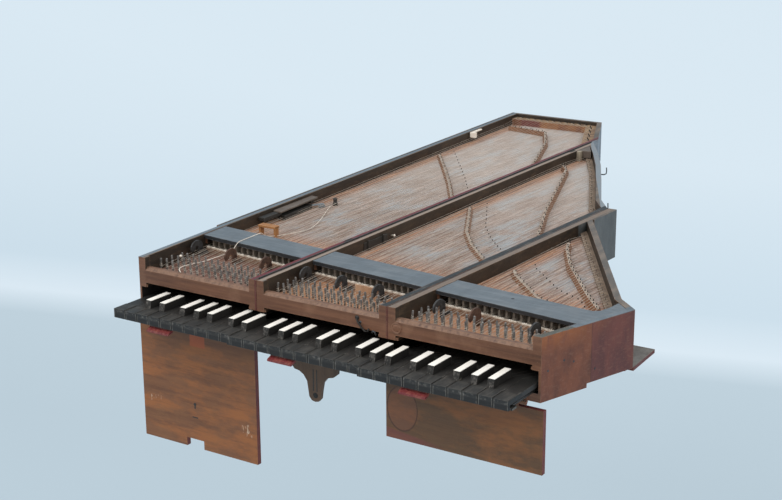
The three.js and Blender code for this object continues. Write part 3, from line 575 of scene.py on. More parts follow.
@dataclass(frozen=True)
class CasePaint:
    """Paints of one section's case, each for the faces that it covers.

    Rims are strips of the top edges: slope of the strip, its bounds and its colour.
    """

    section: Section
    header: str
    slate: str
    rims: tuple[tuple[float, float, float, str], ...]

    def zones(self, t: NodeTree, colour: Socket) -> Socket:
        """Lays the paints over the wood of the case's front.

        Args:
            t: nodes of the material.
            colour: the wood's colour.

        Returns:
            The colour with every paint.
        """
        (nx, ny, nz), (_, depth, height) = t.normal, t.place
        stains = t.cloud(29.4, stretch=(1.0, 0.3, 1.0))
        fine = t.cloud(7.14, stretch=(1.0, 0.2, 1.0))
        up = t.join(Node.TIMES, (nz, 0.7, 0.9))
        side = t.add(Node.LESS, 1.0, t.join(Node.GREATER, up, (nz, -0.7, -0.9)))
        outer = t.outward(self.section.centre)
        facing = (ny, -0.5, -0.9)
        # The inner walls are dark bare wood with scraped streaks, painted darker still as the
        # shade inside the case.
        bare = t.lay("#3a3025", "#241d17", (stains, 0.35, 0.65))
        bare = t.lay(bare, "#66513c", (fine, 0.52, 0.68), 0.35)
        colour = t.lay(colour, bare, side, t.flip(outer))
        # Spine, tail and bentside are slate blue, rubbed grey.
        rear = t.join(Node.GREATER, (ny, 0.1, 0.25), (nx, -0.5, -0.8), (depth, 200.0, 210.0))
        slate = t.lay(self.slate, "#5a6068", (stains, 0.4, 0.7))
        slate = t.lay(slate, "#93989a", (fine, 0.52, 0.7), 0.5)
        colour = t.lay(colour, slate, side, outer, rear)
        # The belly rail's face, seen between the jacks.
        header = (t.band(t.sloped(PLAN.gap_slope), 173.5, 176.5), t.band(height, 45.0, 68.0))
        colour = t.lay(colour, self.header, *header, facing)
        # Red paint left in the seams of the front, and painted shade, near black, in the key well
        # under the front rail.
        seams = [t.band(t.along(0.0), *span) for span in ((-3.0, 1.2), (226.2, 229.6))]
        colour = t.lay(colour, "#551f23", t.join(Node.GREATER, *seams), facing, 0.85)
        key_well_shade = (height, 44.6, 44.2), (depth, 81.5, 81.0)
        colour = t.lay(colour, "#262322", *key_well_shade, t.flip(outer, side))
        # Dust on the front rail's top and grime on its bevel.
        dust = t.lay("#8b7666", "#5c493d", (fine, 0.4, 0.6))
        colour = t.lay(colour, dust, up, t.band(height, 74.5, 75.5), (depth, -29.5, -29.9), 0.35)
        grime = t.lay("#7c5c47", "#553a2b", (fine, 0.45, 0.65))
        colour = t.lay(colour, grime, (nz, 0.5, 0.65), (ny, -0.5, -0.65))
        rim = t.lay("#55504b", "#766a5f", (stains, 0.45, 0.62))
        for slope, low, high, paint in self.rims:
            chipped = t.lay(paint, "#8f8478", (fine, 0.54, 0.7), 0.35)
            rim = t.lay(rim, chipped, t.band(t.along(slope), low, high))
        return t.lay(colour, rim, up, (height, 90.2, 90.6))

    def cheek_zones(self, t: NodeTree, colour: Socket) -> Socket:
        """Lays the case's paints, and the treble cheek's over them.

        The cheek is orange at its front and top, and redder behind its joint.

        Args:
            t: nodes of the material.
            colour: the wood's colour.

        Returns:
            The colour with every paint.
        """
        colour = self.zones(t, colour)
        (nx, _, nz), (_, depth, height) = t.normal, t.place
        stains = t.cloud(25.0, stretch=(1.0, 1.0, 0.4))
        scuffs = t.cloud(3.85, rough=0.75, stretch=(1.0, 0.25, 1.0))
        red = t.lay("#6b3b33", "#57302e", (stains, 0.38, 0.62))
        front = t.lay("#77452f", "#5c3527", (stains, 0.38, 0.62))
        paint = t.lay(red, front, (depth, 49.0, 47.0))
        paint = t.lay(
            paint, "#96582f", (height, 62.0, 86.0), (stains, 0.38, 0.5), (depth, 90.0, 0.0), 0.8
        )
        paint = t.lay(paint, "#8b6350", (scuffs, 0.52, 0.7), 0.4)
        paint = t.lay(paint, "#4a2a24", t.band(depth, 47.5, 48.3))
        colour = t.lay(colour, paint, (nx, 0.6, 0.8), t.outward(self.section.centre))
        # The bottom board that stands out behind the cheek.
        low, flat = (height, 6.2, 5.8), (nz, 0.7, 0.9)
        board = t.lay("#74706a", "#5c5650", (stains, 0.4, 0.6))
        colour = t.lay(colour, board, low, flat)
        colour = t.lay(colour, "#5f2c2a", low, (depth, 50.0, 52.0), t.flip(flat))
        # The hinge block at the tail, and the slate paint on the cheek's top edge.
        block = t.lay("#626667", "#4f5456", (stains, 0.4, 0.65))
        colour = t.lay(colour, block, (depth, 479.0, 481.0), (nx, 0.3, 0.5))
        edge = t.lay("#66727b", "#545e66", (stains, 0.4, 0.65))
        top = (height, 90.2, 90.6), (t.along(PLAN.cheek), 452.0, 453.5)
        return t.lay(colour, edge, *top, t.band(depth, 18.0, 170.0))


@dataclass(frozen=True)
class BoardPaint:
    """Stains and worn places of one soundboard, and its hitch rail's colour."""

    section: Section
    slope: float
    wall: float
    rail: tuple[str, str]
    warm_width: float = 46.0
    red_end: Span = (-135.0, -85.0)

    def zones(self, t: NodeTree, colour: Socket) -> Socket:
        """Lays the places over the board's wood.

        Args:
            t: nodes of the material.
            colour: the wood's colour.

        Returns:
            The colour with every place.
        """
        (_, ny, _), (x, depth, height) = t.normal, t.place
        stains = t.cloud(38.5, stretch=(1.0, 0.35, 1.0))
        # The scoring under the strings: real grain of 1 mm drawn twice as wide.
        lines = t.cloud(1.786, 3.0, stretch=(1.0, 0.02, 1.0), turn=self.slope / 2)
        broad = t.cloud(5.88, 4.0, 0.6, stretch=(1.0, 0.05, 1.0), turn=self.slope / 2)
        flakes = t.cloud(14.3, stretch=(1.0, 0.6, 1.0))
        colour = t.lay(colour, "#6d5c53", (broad, 0.48, 0.6), 0.6)
        colour = t.lay(colour, "#675a54", (lines, 0.5, 0.6), 0.55)
        colour = t.lay(colour, "#d6c9c0", (lines, 0.46, 0.36), 0.5)
        colour = t.lay(colour, "#9aa3a9", (stains, 0.48, 0.6), (broad, 0.62, 0.45), 0.8)
        colour = t.lay(colour, "#7a5a45", (stains, 0.5, 0.38), (broad, 0.42, 0.55), 0.6)
        colour = t.lay(colour, "#ddd6cf", (flakes, 0.62, 0.7), 0.6)
        colour = t.lay(colour, "#d3c9c0", (depth, 350.0, 800.0), 0.4)
        # Bare orange wood along the left wall and behind the jacks.
        wall = (t.along(self.slope), self.wall + self.warm_width, self.wall)
        warm = t.join(Node.PLUS, wall, t.add(Node.TIMES, stains, 0.7))
        gap = (t.sloped(PLAN.gap_slope), 370.0, 190.0)
        near = t.join(Node.PLUS, gap, t.add(Node.TIMES, stains, 0.6))
        patch = t.join(Node.GREATER, (warm, 0.66, 1.0), (near, 0.72, 1.05))
        orange = t.lay("#b97843", "#7d4f33", (broad, 0.4, 0.6))
        colour = t.lay(colour, orange, patch, 0.68)
        rail = t.lay(*self.rail, (t.cloud(16.7), 0.4, 0.62))
        if self.section is BASS:
            face = (ny, -0.4, -0.8)
            rail = t.lay(rail, t.lay("#a06f45", "#774a30", (stains, 0.4, 0.6)), face)
            rail = t.lay(rail, "#6e3430", face, t.band(x, *self.red_end, 4.0))
        return t.lay(colour, rail, (height, 70.2, 70.6))


def plank_zones(t: NodeTree, colour: Socket) -> Socket:
    """Lays dust on a wrestplank, most at its front.

    Args:
        t: nodes of the material.
        colour: the wood's colour.

    Returns:
        The dusty colour.
    """
    front = t.join(Node.TIMES, (t.place[1], 20.0, -26.0), 0.22)
    dust = t.add(Node.PLUS, t.cloud(8.33, rough=0.75), front)
    return t.lay(colour, "#bdafa4", (dust, 0.55, 0.8), 0.85)


def nut_zones(t: NodeTree, colour: Socket) -> Socket:
    """Lays the pale, dirty paper over the upper edge of a nut.

    Args:
        t: nodes of the material.
        colour: the wood's colour.

    Returns:
        The colour with its edge.
    """
    edge = t.lay("#efe7d9", "#8a7868", (t.cloud(9.09, 4.0), 0.5, 0.64))
    return t.lay(colour, edge, (t.place[2], 70.6, 70.8))


def bridge_zones(t: NodeTree, colour: Socket) -> Socket:
    """Greys the top of a bridge over its brown sides.

    Args:
        t: nodes of the material.
        colour: the wood's colour.

    Returns:
        The colour with its top.
    """
    top = t.lay("#b8aa9c", "#7d6757", (t.cloud(7.69, rough=0.75), 0.4, 0.62))
    return t.lay(colour, top, (t.normal[2], 0.6, 0.8))


def rail_zones(t: NodeTree, colour: Socket) -> Socket:
    """Brushes the slate top of a jack rail and blackens its front edge.

    Args:
        t: nodes of the material.
        colour: the paint's colour.

    Returns:
        The colour with strokes and edge.
    """
    strokes = t.cloud(8.33, stretch=(0.12, 1.0, 1.0), turn=0.107)
    colour = t.lay(colour, "#7a838a", (strokes, 0.48, 0.66), 0.5)
    return t.lay(colour, "#232528", (t.normal[1], -0.5, -0.8))


def key_zones(t: NodeTree, colour: Socket) -> Socket:
    """Gives each key its own tone, worn finger places and the red pull tab.

    Args:
        t: nodes of the material.
        colour: the stained wood's colour.

    Returns:
        The colour with its places.
    """
    (_, ny, nz), (x, y, z) = t.normal, t.place
    start = t.add(Node.LESS, x, PLAN.first_natural + PLAN.fold_x)
    keys = t.add(Node.TIMES, start, 1 / PLAN.natural)
    tone = t.add(Node.CHANCE, t.add(Node.WHOLE, keys))
    colour = t.lay(colour, "#33312e", tone, 0.4)
    scuffs = t.cloud(5.26, rough=0.75, stretch=(1.0, 0.5, 1.0))
    streaks = t.cloud(2.38, 4.0, stretch=(1.0, 0.12, 1.0))
    colour = t.lay(
        colour, "#63605a", (nz, 0.7, 0.9), (y, -60.0, -100.0), (streaks, 0.52, 0.68), 0.45
    )
    facing = (ny, -0.6, -0.9)
    colour = t.lay(colour, "#100f0f", facing, (z, 21.5, 20.5), 0.8)
    colour = t.lay(colour, "#85807a", facing, (scuffs, 0.5, 0.66), (z, 21.0, 24.0), 0.5)
    # Lighter sides of the heads, partly wear and partly a painted highlight on their edges, and
    # the dark slits between them.
    off_middle = t.add(Node.UNSIGNED, t.add(Node.LESS, t.add(Node.REST, keys), 0.5))
    heads = (y, -81.5, -82.5), (z, 30.0, 29.5)
    colour = t.lay(colour, "#77736c", *heads, (off_middle, 0.38, 0.44), (scuffs, 0.35, 0.55), 0.6)
    colour = t.lay(colour, "#040404", *heads, (off_middle, 0.45, 0.46))
    tab = t.lay("#6d2428", "#8a4a40", (scuffs, 0.45, 0.6))
    return t.lay(colour, tab, (z, 11.2, 10.8), (y, -90.0, -94.0))


def plate_zones(t: NodeTree, colour: Socket) -> Socket:
    """Wears the plate of a natural key where fingers rest.

    Args:
        t: nodes of the material.
        colour: the stained wood's colour.

    Returns:
        The worn colour.
    """
    streaks = t.cloud(3.03, 4.0, stretch=(1.0, 0.1, 1.0))
    broad = t.cloud(16.7, 4.0, 0.65, stretch=(1.0, 0.6, 1.0))
    colour = t.lay(colour, "#56534d", (streaks, 0.5, 0.66), 0.5)
    return t.lay(colour, "#42403c", (broad, 0.45, 0.62), 0.5)


@dataclass(frozen=True)
class FlapPaint:
    """Places of a flap's front that differ from its wood.

    The patch is (left, right, bottom, top), the ring (middle, height, radius) and each
    scratch (middle, height, half its size).
    """

    patch: tuple[float, float, float, float] | None = None
    ring: Place | None = None
    scratches: tuple[Place, ...] = ()
    glow: float = 0.6

    def zones(self, t: NodeTree, colour: Socket) -> Socket:
        """Lays the places over the flap's wood.

        Args:
            t: nodes of the material.
            colour: the wood's colour.

        Returns:
            The colour with every place.
        """
        x, z = t.along(0.0), t.place[2]
        stains = t.cloud(41.7, stretch=(0.35, 1.0, 1.0))
        fine = t.cloud(6.25, stretch=(0.1, 1.0, 1.0))
        # Orange clouds of the varnished wood, partly painted sheen.
        colour = t.lay(colour, "#a3622f", (stains, 0.46, 0.6), self.glow)
        colour = t.lay(colour, "#4f3120", (fine, 0.5, 0.68), 0.4)
        # Painted shade: the top of the flap darker, under the case and keyboard.
        colour = t.lay(colour, "#3a2519", (z, -30.0, -12.0), 0.4)
        if self.patch:
            left, right, bottom, top = self.patch
            place = t.band(x, left, right), t.band(z, bottom, top, 1.0)
            colour = t.lay(colour, "#a5522c", *place, 0.8)
        if self.ring:
            colour = self.ringed(t, colour, stains)
        marks = (t.cloud(3.33, 3.0, 0.6, (1.0, 1.0, 0.4), 0.6), 0.56, 0.64)
        for middle, rise, half in self.scratches:
            across = t.band(x, middle - half, middle + half, 1.0)
            upward = t.band(z, rise - half, rise + half, 1.0)
            colour = t.lay(colour, "#cdb59c", across, upward, marks, 0.6)
        edge = t.lay("#5a2328", "#74382e", (stains, 0.4, 0.6))
        return t.lay(colour, edge, t.flip((t.add(Node.UNSIGNED, t.normal[1]), 0.3, 0.6)))

    def ringed(self, t: NodeTree, colour: Socket, stains: Socket) -> Socket:
        """Lays the round stain, its line and the red wedge below it.

        Args:
            t: nodes of the material.
            colour: colour below.
            stains: pattern that breaks up the line.

        Returns:
            The colour with the ring.
        """
        x, z = t.along(0.0), t.place[2]
        middle, rise, radius = self.ring
        dx = t.add(Node.LESS, x, middle)
        dz = t.add(Node.TIMES, t.add(Node.LESS, z, rise), 0.75)
        square = t.add(Node.PLUS, t.add(Node.TIMES, dx, dx), t.add(Node.TIMES, dz, dz))
        far = t.add(Node.ROOT, square)
        colour = t.lay(colour, "#7a4c38", (far, radius, radius - 1.0), 0.45)
        line = t.band(far, radius - 1.2, radius + 0.6, 0.6)
        colour = t.lay(colour, "#42281c", line, (stains, 0.3, 0.45), 0.8)
        wedge = t.add(Node.PLUS, t.add(Node.TIMES, x, 0.12), z)
        return t.lay(colour, "#713e38", (wedge, -55.0, -58.0), (x, 330.0, 290.0), 0.7)


CASE_PAINTS = (
    CasePaint(
        BASS,
        "#7a2a33",
        "#8b98a4",
        (
            (-PLAN.wedge, -230.0, -227.6, "#2b2e31"),
            (-PLAN.wedge, -227.6, -221.0, "#66737d"),
            (0.0, -10.6, -5.0, "#641f28"),
            (0.0, -5.0, 0.0, "#3a302f"),
        ),
    ),
    CasePaint(
        MIDDLE,
        "#2b2422",
        "#79858e",
        (
            (0.0, 0.0, 3.6, "#4b4240"),
            (0.0, 3.6, 10.6, "#8f8073"),
            (-0.52, 581.0, 760.0, "#7d868d"),
            (PLAN.wedge, 217.0, 225.0, "#23272a"),
            (PLAN.wedge, 225.0, 228.4, "#17191b"),
        ),
    ),
    CasePaint(
        TREBLE,
        "#4f2928",
        "#79858e",
        (
            (PLAN.wedge, 228.0, 230.5, "#2b2a29"),
            (PLAN.wedge, 230.5, 241.0, "#75665a"),
            (PLAN.cheek, 455.0, 468.0, "#4a4b44"),
        ),
    ),
)
BOARD_PAINTS = (
    BoardPaint(BASS, -PLAN.wedge, -218.0, ("#a48868", "#6f5440")),
    BoardPaint(MIDDLE, 0.0, 10.5, ("#917d6a", "#6c5a4b")),
    BoardPaint(TREBLE, PLAN.wedge, 240.0, ("#917d6a", "#6c5a4b")),
)
FLAP_PAINT = FlapPaint(
    patch=(-127.0, -98.0, -33.0, -4.0),
    scratches=(
        (-207.0, -134.0, 5.0),
        (-196.0, -134.0, 6.0),
        (-24.0, -146.0, 7.0),
        (-17.0, -152.0, 6.0),
    ),
)
RINGED_PAINT = FlapPaint(ring=(256.0, -52.0, 25.0), glow=0.45)

# Oiled walnut of the front: warm brown, streaked along the rail, with pale rubbed edges.
FRONT = Wood(
    "walnut_oiled", "#76503a", "#472c1e", "#9a765d", Grain.ALONG_X, 14.3, 0.8, 0.4, 0.7
)
# Varnished fruitwood of the bass flap: broad orange and brown clouds, the orange partly a painted
# sheen on the varnish, still a little glossy.
FLAP = Wood("fruitwood_varnished", "#7f5334", "#5b3822", "#976c45", Grain.ALONG_X, 25.0, 0.6)
# The same wood on the treble flap, browner under old dirty varnish.
DARK_FLAP = Wood("fruitwood_smoked", "#66492f", "#48321f", "#7d5a3f", Grain.ALONG_X, 25.0, 0.6)
# Walnut sawn upright for the tongue: dull grey brown.
TONGUE = Wood("walnut_dry", "#604835", "#3a2b20", "#7a5c44", Grain.ALONG_Z, 16.7, 0.8)
# Unvarnished spruce of the soundboards: pale pinkish grey, matt, with long fine streaks.
BOARD = Wood("spruce_bare", "#ab958a", "#7f6d64", "#cdbbae", streak=0.7, roughness=0.7)
# Bare oak of the wrestplanks: reddish in the bass and yellower in the others, dusty. The middle
# plank's colour is lightened: painted light against the shade that falls on it.
PLANKS = {
    "bass": Wood("oak_red", "#80594a", "#5e4236", "#a98a78", Grain.ALONG_X, edge=0.3),
    "middle": Wood("oak_yellow", "#b9845e", "#946345", "#cda98a", Grain.ALONG_X, edge=0.3),
    "treble": Wood("oak_pale", "#bd8a68", "#9a6a4b", "#d3b59b", Grain.ALONG_X, edge=0.3),
}
# Planed beech of the bridges: orange brown sides under a grey top.
BRIDGE = Wood("beech_planed", "#875a3b", "#5a3d2b", "#a98563", wear=0.3)
# Beech of the nuts, brown below a pale edge.
NUT = Wood("beech_nut", "#8a6b55", "#5d4636", "#b39a84", Grain.ALONG_X, edge=0.6)
# Distemper on the jack rails: flat blue grey, scuffed lighter at its edges.
SLATE = Wood("distemper_slate", "#606a72", "#50585f", "#8c9093", wear=0.3, streak=0.5, edge=0.7)
# Pear stained black for the naturals: near black with a soft shine and grey scuffs.
BLACK_PEAR = Wood("pear_stained", "#20201f", "#141414", "#57534d", wear=0.15, roughness=0.5)
# Bare pear of the jacks and registers: pale, greyed by dust.
PEAR = Wood("pear_bare", "#a89a8c", "#857667", "#cdbfb0", Grain.ALONG_Z, wear=0.4)
# Polished bone of the accidentals: warm white, almost without grain.
BONE = Wood(
    "bone_polished", "#fcf9f2", "#f3ecdf", "#fffdf7", band=14.3, wear=0.2, edge=0.2, bump=0.03
)
# Planed cherry of the small frame: clear orange with light worn edges.
CHERRY = Wood("cherry_planed", "#a3703f", "#7c5030", "#c9a27a", edge=0.8)
# Split lime of the loose board among the pins: tan with a bright top edge.
LIME = Wood("lime_split", "#b08a6b", "#84624a", "#e3d2bb", Grain.ALONG_Z, edge=1.0)
# Weathered poplar of the end post: grey beige.
POPLAR = Wood("poplar_weathered", "#a09684", "#7b7363", "#c2b9a6", edge=0.7)
# Blackened beech of rests, knobs and straps: matt near black.
BLACK_BEECH = Wood("beech_blackened", "#2c2a27", "#1c1b19", "#5a554d")
# Lath with blue distemper, mostly worn to grey.
BLUE_LATH = Wood("distemper_blue", "#7d858b", "#5f666b", "#a3a9ac", edge=0.6)
# Oak gone grey brown with handling.
GREY_OAK = Wood("oak_weathered", "#62574e", "#463d36", "#8e8a83", edge=0.6)
# Gesso and the pale gut string: cream with dirty patches.
GESSO = Wood("gesso_cream", "#efe6d9", "#cdbba8", "#f8f3ea", wear=0.5, edge=0.3)
# Irons: black from the forge on hooks and hinges, drawn and bluish on small hooks,
# brown-black on levers, greyed on the tuning pins, rust brown on three levers.
FORGED = Metal("iron_forged", "#403f3e", "#2a2725", 0.5)
DRAWN = Metal("iron_drawn", "#54585c", "#34373a", 0.45)
LEVER = Metal("iron_hammered", "#4a4b4c", "#2c2a29", 0.55, 0.5)
TUNING = Metal("iron_greyed", "#918f8c", "#454341", 0.5, 0.45)
RUSTY = Metal("iron_rusted", "#6a5043", "#3f302a", 0.6, 0.4)
# Old drawn brass of the strings, dulled to a pale grey beige with little shine.
WIRE = Metal("brass_dulled", "#d3c9bb", "#9a8e80", 0.45, 0.35)


def section_frame(point: Vector, way: Vector, across: Vector, radius: float) -> Matrix:
    """Places a round section.

    Args:
        point: its centre, in metres.
        way: its axis, of length 1.
        across: direction of its first corner, of length 1.
        radius: its radius in millimetres.

    Returns:
        The matrix that takes a circle of radius 1 there.
    """
    size = radius * MM
    frame = Matrix((way.cross(across) * size, across * size, way)).transposed().to_4x4()
    frame.translation = point
    return frame


class Shape:
    """Gathers the closed forms of one piece and makes its object."""

    def __init__(self, name: str) -> None:
        """Starts an empty piece.

        Args:
            name: the piece's name.
        """
        self.name = name
        self.mesh = bmesh.new()

    def extrude(self, face: bmesh.types.BMFace) -> bmesh.types.BMFace:
        """Extrudes a face in place and returns its new end.

        Its edges are handed over too, so that the operator drops a face that ends up inside.

        Args:
            face: end of a form, or its outline.

        Returns:
            The new end, still in the same place.
        """
        grown = bmesh.ops.extrude_face_region(self.mesh, geom=[face, *face.edges])["geom"]
        return next(part for part in grown if isinstance(part, bmesh.types.BMFace))

    def plate(self, outline: Sequence[Vector], way: Vector) -> "Shape":
        """Raises an outline along a vector, both in metres.

        Args:
            outline: corners of the outline.
            way: how far it is raised, and where to.

        Returns:
            The shape itself.
        """
        face = self.mesh.faces.new([self.mesh.verts.new(corner) for corner in outline])
        end = self.extrude(face)
        bmesh.ops.translate(self.mesh, vec=way, verts=list(end.verts))
        return self

    def prism(self, outline: Outline, low: float, high: float) -> "Shape":
        """Raises an outline of the plan between two heights.

        Args:
            outline: corners in the plan.
            low: height of its underside.
            high: height of its top.

        Returns:
            The shape itself.
        """
        corners = [PLAN.at(x, y, low) for x, y in outline]
        return self.plate(corners, Vector((0.0, 0.0, (high - low) * MM)))

    def block(self, x: Span, y: Span, z: Span) -> "Shape":
        """Adds a board between bounds.

        Args:
            x: bounds along the keys.
            y: bounds of the depth.
            z: bounds of the height.

        Returns:
            The shape itself.
        """
        low, high = (PLAN.at(x[i], y[i], z[i]) for i in (0, 1))
        sizes = Matrix.Diagonal((*(high - low), 1.0))
        place = Matrix.Translation((low + high) / 2)
        bmesh.ops.create_cube(self.mesh, size=1.0, matrix=place @ sizes)
        return self

    def sweep(self, frames: Sequence[Matrix], sides: int) -> "Shape":
        """Extrudes a round cap through frames.

        Args:
            frames: frames that place, turn and size the section.
            sides: its number of sides.

        Returns:
            The shape itself.
        """
        circle = bmesh.ops.create_circle(
            self.mesh, cap_ends=True, radius=1.0, segments=sides, matrix=frames[0]
        )
        cap = circle["verts"][0].link_faces[0]
        for last, frame in zip(frames, frames[1:]):
            cap = self.extrude(cap)
            step = frame @ last.inverted()
            bmesh.ops.transform(self.mesh, matrix=step, verts=list(cap.verts))
        return self

    def turned(self, base: Place, axis: Place, profile: Outline, sides: int = 12) -> "Shape":
        """Adds a turned form.

        Args:
            base: start of its axis.
            axis: direction of its axis.
            profile: pairs of a radius and a distance along the axis.
            sides: its number of sides.

        Returns:
            The shape itself.
        """
        way, start = Vector(axis).normalized(), PLAN.at(*base)
        across = way.orthogonal().normalized()
        frames = [section_frame(start + way * run * MM, way, across, r) for r, run in profile]
        return self.sweep(frames, sides)

    def tube(self, path: Sequence[Place], radius: float, sides: int = 6) -> "Shape":
        """Adds a round bar, mitred at its bends.

        Args:
            path: points that it passes.
            radius: its radius.
            sides: its number of sides.

        Returns:
            The shape itself.
        """
        points = [PLAN.at(*place) for place in path]
        across = None
        frames = []
        for i, point in enumerate(points):
            way = (points[min(i + 1, len(points) - 1)] - points[max(i - 1, 0)]).normalized()
            across = (across - way * across.dot(way)) if across else way.orthogonal()
            across.normalize()
            frames.append(section_frame(point, way, across, radius))
        return self.sweep(frames, sides)

    def make(
        self,
        body: str,
        slot: str,
        material: bpy.types.Material,
        bevel: float = 0.0,
        smooth: bool = False,
        replaces: str | None = None,
    ) -> bpy.types.Object:
        """Makes the object and lets it ride.

        Args:
            body: body that it moves with.
            slot: material slot of the record; not used.
            material: its finish.
            bevel: width of its rounded edges.
            smooth: whether its faces are shaded smooth.
            replaces: node of the frame that it stands for.

        Returns:
            The object.
        """
        bmesh.ops.recalc_face_normals(self.mesh, faces=self.mesh.faces)
        data = bpy.data.meshes.new(self.name)
        self.mesh.to_mesh(data)
        self.mesh.free()
        data.polygons.foreach_set("use_smooth", [smooth] * len(data.polygons))
        data.materials.append(material)
        piece = bpy.data.objects.new(self.name, data)
        bpy.context.scene.collection.objects.link(piece)
        if bevel:
            rounding = piece.modifiers.new("rounding", "BEVEL")
            rounding.width = bevel * MM
            rounding.segments = 2
            rounding.limit_method = "ANGLE"
        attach(piece, body)
        if replaces:
            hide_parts(replaces)
        return piece


class Workshop:
    """The finishes that several of the pieces share, each made once."""

    def __init__(self) -> None:
        """Makes every shared finish."""
        self.forged = FORGED.material()
        self.drawn = DRAWN.material()
        self.lever = LEVER.material()
        self.tuning = TUNING.material()
        self.wire = WIRE.material()
        self.front = FRONT.material()
        self.bone = BONE.material()
        self.cherry = CHERRY.material()
        self.poplar = POPLAR.material()
        self.black = BLACK_BEECH.material()
        self.blue = BLUE_LATH.material()
        self.oak = GREY_OAK.material()
        self.cream = GESSO.material()
        self.bridge = BRIDGE.material(bridge_zones)
        self.rail = SLATE.material(rail_zones)


@dataclass(frozen=True)
class Dressing:
    """The finish of every node of the frame."""

    frame: dict
    shop: Workshop

    def build(self) -> Pieces:
        """Gives every node its finish and returns the nodes."""
        shop = self.shop
        keys, jacks = BLACK_PEAR.material(key_zones), PEAR.material()
        looks = {
            "bass_flap": FLAP.material(FLAP_PAINT.zones),
            "treble_flap": DARK_FLAP.material(RINGED_PAINT.zones),
            "tongue": TONGUE.material(),
        }
        for case, board in zip(CASE_PAINTS, BOARD_PAINTS):
            name = case.section.name
            zones = case.cheek_zones if case.section is TREBLE else case.zones
            looks[f"{name}_case"] = FRONT.material(zones)
            looks[f"{name}_soundboard"] = BOARD.material(board.zones)
            looks[f"{name}_wrestplank"] = shop.bridge
        endings = {
            "bridge": shop.bridge,
            "jack_rail": shop.rail,
            "keyboard": keys,
            "register": jacks,
            "strings": shop.wire,
        }
        starts = {"key_": keys, "jack_": jacks}
        for name, node in self.frame["nodes"].items():
            found = [looks[name]] if name in looks else []
            found += [look for end, look in endings.items() if name.endswith(end)]
            found += [look for start, look in starts.items() if name.startswith(start)]
            node.data.materials.clear()
            node.data.materials.append((found + [shop.forged])[0])
        return list(self.frame["nodes"].values())


@dataclass(frozen=True)
class Keyboards:
    """The bone slips on the accidentals and the worn plates on the naturals' heads.

    Shifts are each accidental's distance from the joint of its naturals, as a share of a
    natural's width, by its number within the octave.
    """

    frame: dict
    shop: Workshop
    shifts: tuple[tuple[int, float], ...] = (
        (0, -0.0995),
        (1, 0.099),
        (3, -0.156),
        (4, 0.03),
        (5, 0.133),
    )
    overhang: float = 0.05
    slip_start: float = 3.0
    slip_end: float = 0.1
    slip_z: Span = (-1.0, 0.4)
    rounding: float = 0.5
    seed: int = 17
    slit: Span = (0.6, 1.5)
    lead: Span = (0.5, 2.0)
    skew: float = 0.5
    end_gap: float = 1.0
    plate_low: float = 27.4
    plate_high: Span = (27.9, 28.9)
    moving: tuple[tuple[int, str], ...] = (
        (14, "key_c"),
        (15, "key_d"),
        (16, "key_e"),
        (17, "key_f"),
        (18, "key_g"),
    )

    def slips(self) -> Pieces:
        """Lays the slips: one piece for each fixed keyboard, and one for each moving key."""
        made = []
        half = PLAN.sharp_width / 2 + self.overhang
        z = tuple(PLAN.sharp_top + share for share in self.slip_z)
        for section in SECTIONS:
            front = PLAN.sharp_front - section.pull
            depth = (front + self.slip_start, front + PLAN.sharp_length + self.slip_end)
            groups = [(f"{section.name}_slips", f"{section.name}_keys", section.fixed_sharps)]
            groups += [(f"{body}_slip", body, (n,)) for n, body in section.moving_sharps]
            for name, body, numbers in groups:
                shape = Shape(name)
                for n in numbers:
                    joint = n + 1 + dict(self.shifts)[n % 7]
                    x = PLAN.first_natural + joint * PLAN.natural
                    shape.block((x - half, x + half), depth, z)
                made.append(shape.make(body, "key", self.shop.bone, self.rounding))
        return made

    def heads(self) -> Pieces:
        """Lays a worn black plate on each natural's head, no two at quite one height."""
        made = []
        dice = random.Random(self.seed)
        look = BLACK_PEAR.material(plate_zones)
        for section in SECTIONS:
            node = self.frame["nodes"][f"{section.name}_keyboard"]
            front = min(v.co.y for v in node.data.vertices) / MM - PLAN.front_y
            stop = PLAN.sharp_front - section.pull - self.end_gap
            for n in section.naturals:
                left = PLAN.first_natural + n * PLAN.natural
                right = left + PLAN.natural
                left += dice.uniform(*self.slit)
                right -= dice.uniform(*self.slit)
                start = front + dice.uniform(*self.lead)
                skewed = start + dice.uniform(-self.skew, self.skew)
                outline = [(left, start), (right, skewed), (right, stop), (left, stop)]
                shape = Shape(f"{section.name}_head_{n + 2}")
                shape.prism(outline, self.plate_low, dice.uniform(*self.plate_high))
                body = dict(self.moving).get(n, f"{section.name}_keys")
                made.append(shape.make(body, "key", look, self.rounding))
        return made

    def build(self) -> Pieces:
        """Builds slips and heads."""
        return self.slips() + self.heads()


@dataclass(frozen=True)
class Planks:
    """Bare planks in place of the wrestplanks whose pins are only square pegs."""

    frame: dict
    top: float = PLAN.plank_top + 0.1

    def build(self) -> Pieces:
        """Draws each plank tight round its node's corners below the pins."""
        made = []
        for section in SECTIONS:
            name = f"{section.name}_wrestplank"
            vertices = self.frame["nodes"][name].data.vertices
            plank = Shape(f"{section.name}_plank")
            corners = [plank.mesh.verts.new(v.co) for v in vertices if v.co.z < self.top * MM]
            bmesh.ops.convex_hull(plank.mesh, input=corners)
            loose = [v for v in plank.mesh.verts if not v.link_faces]
            bmesh.ops.delete(plank.mesh, geom=loose, context="VERTS")
            look = PLANKS[section.name].material(plank_zones)
            made.append(plank.make(section.name, "inner", look, replaces=name))
        return made


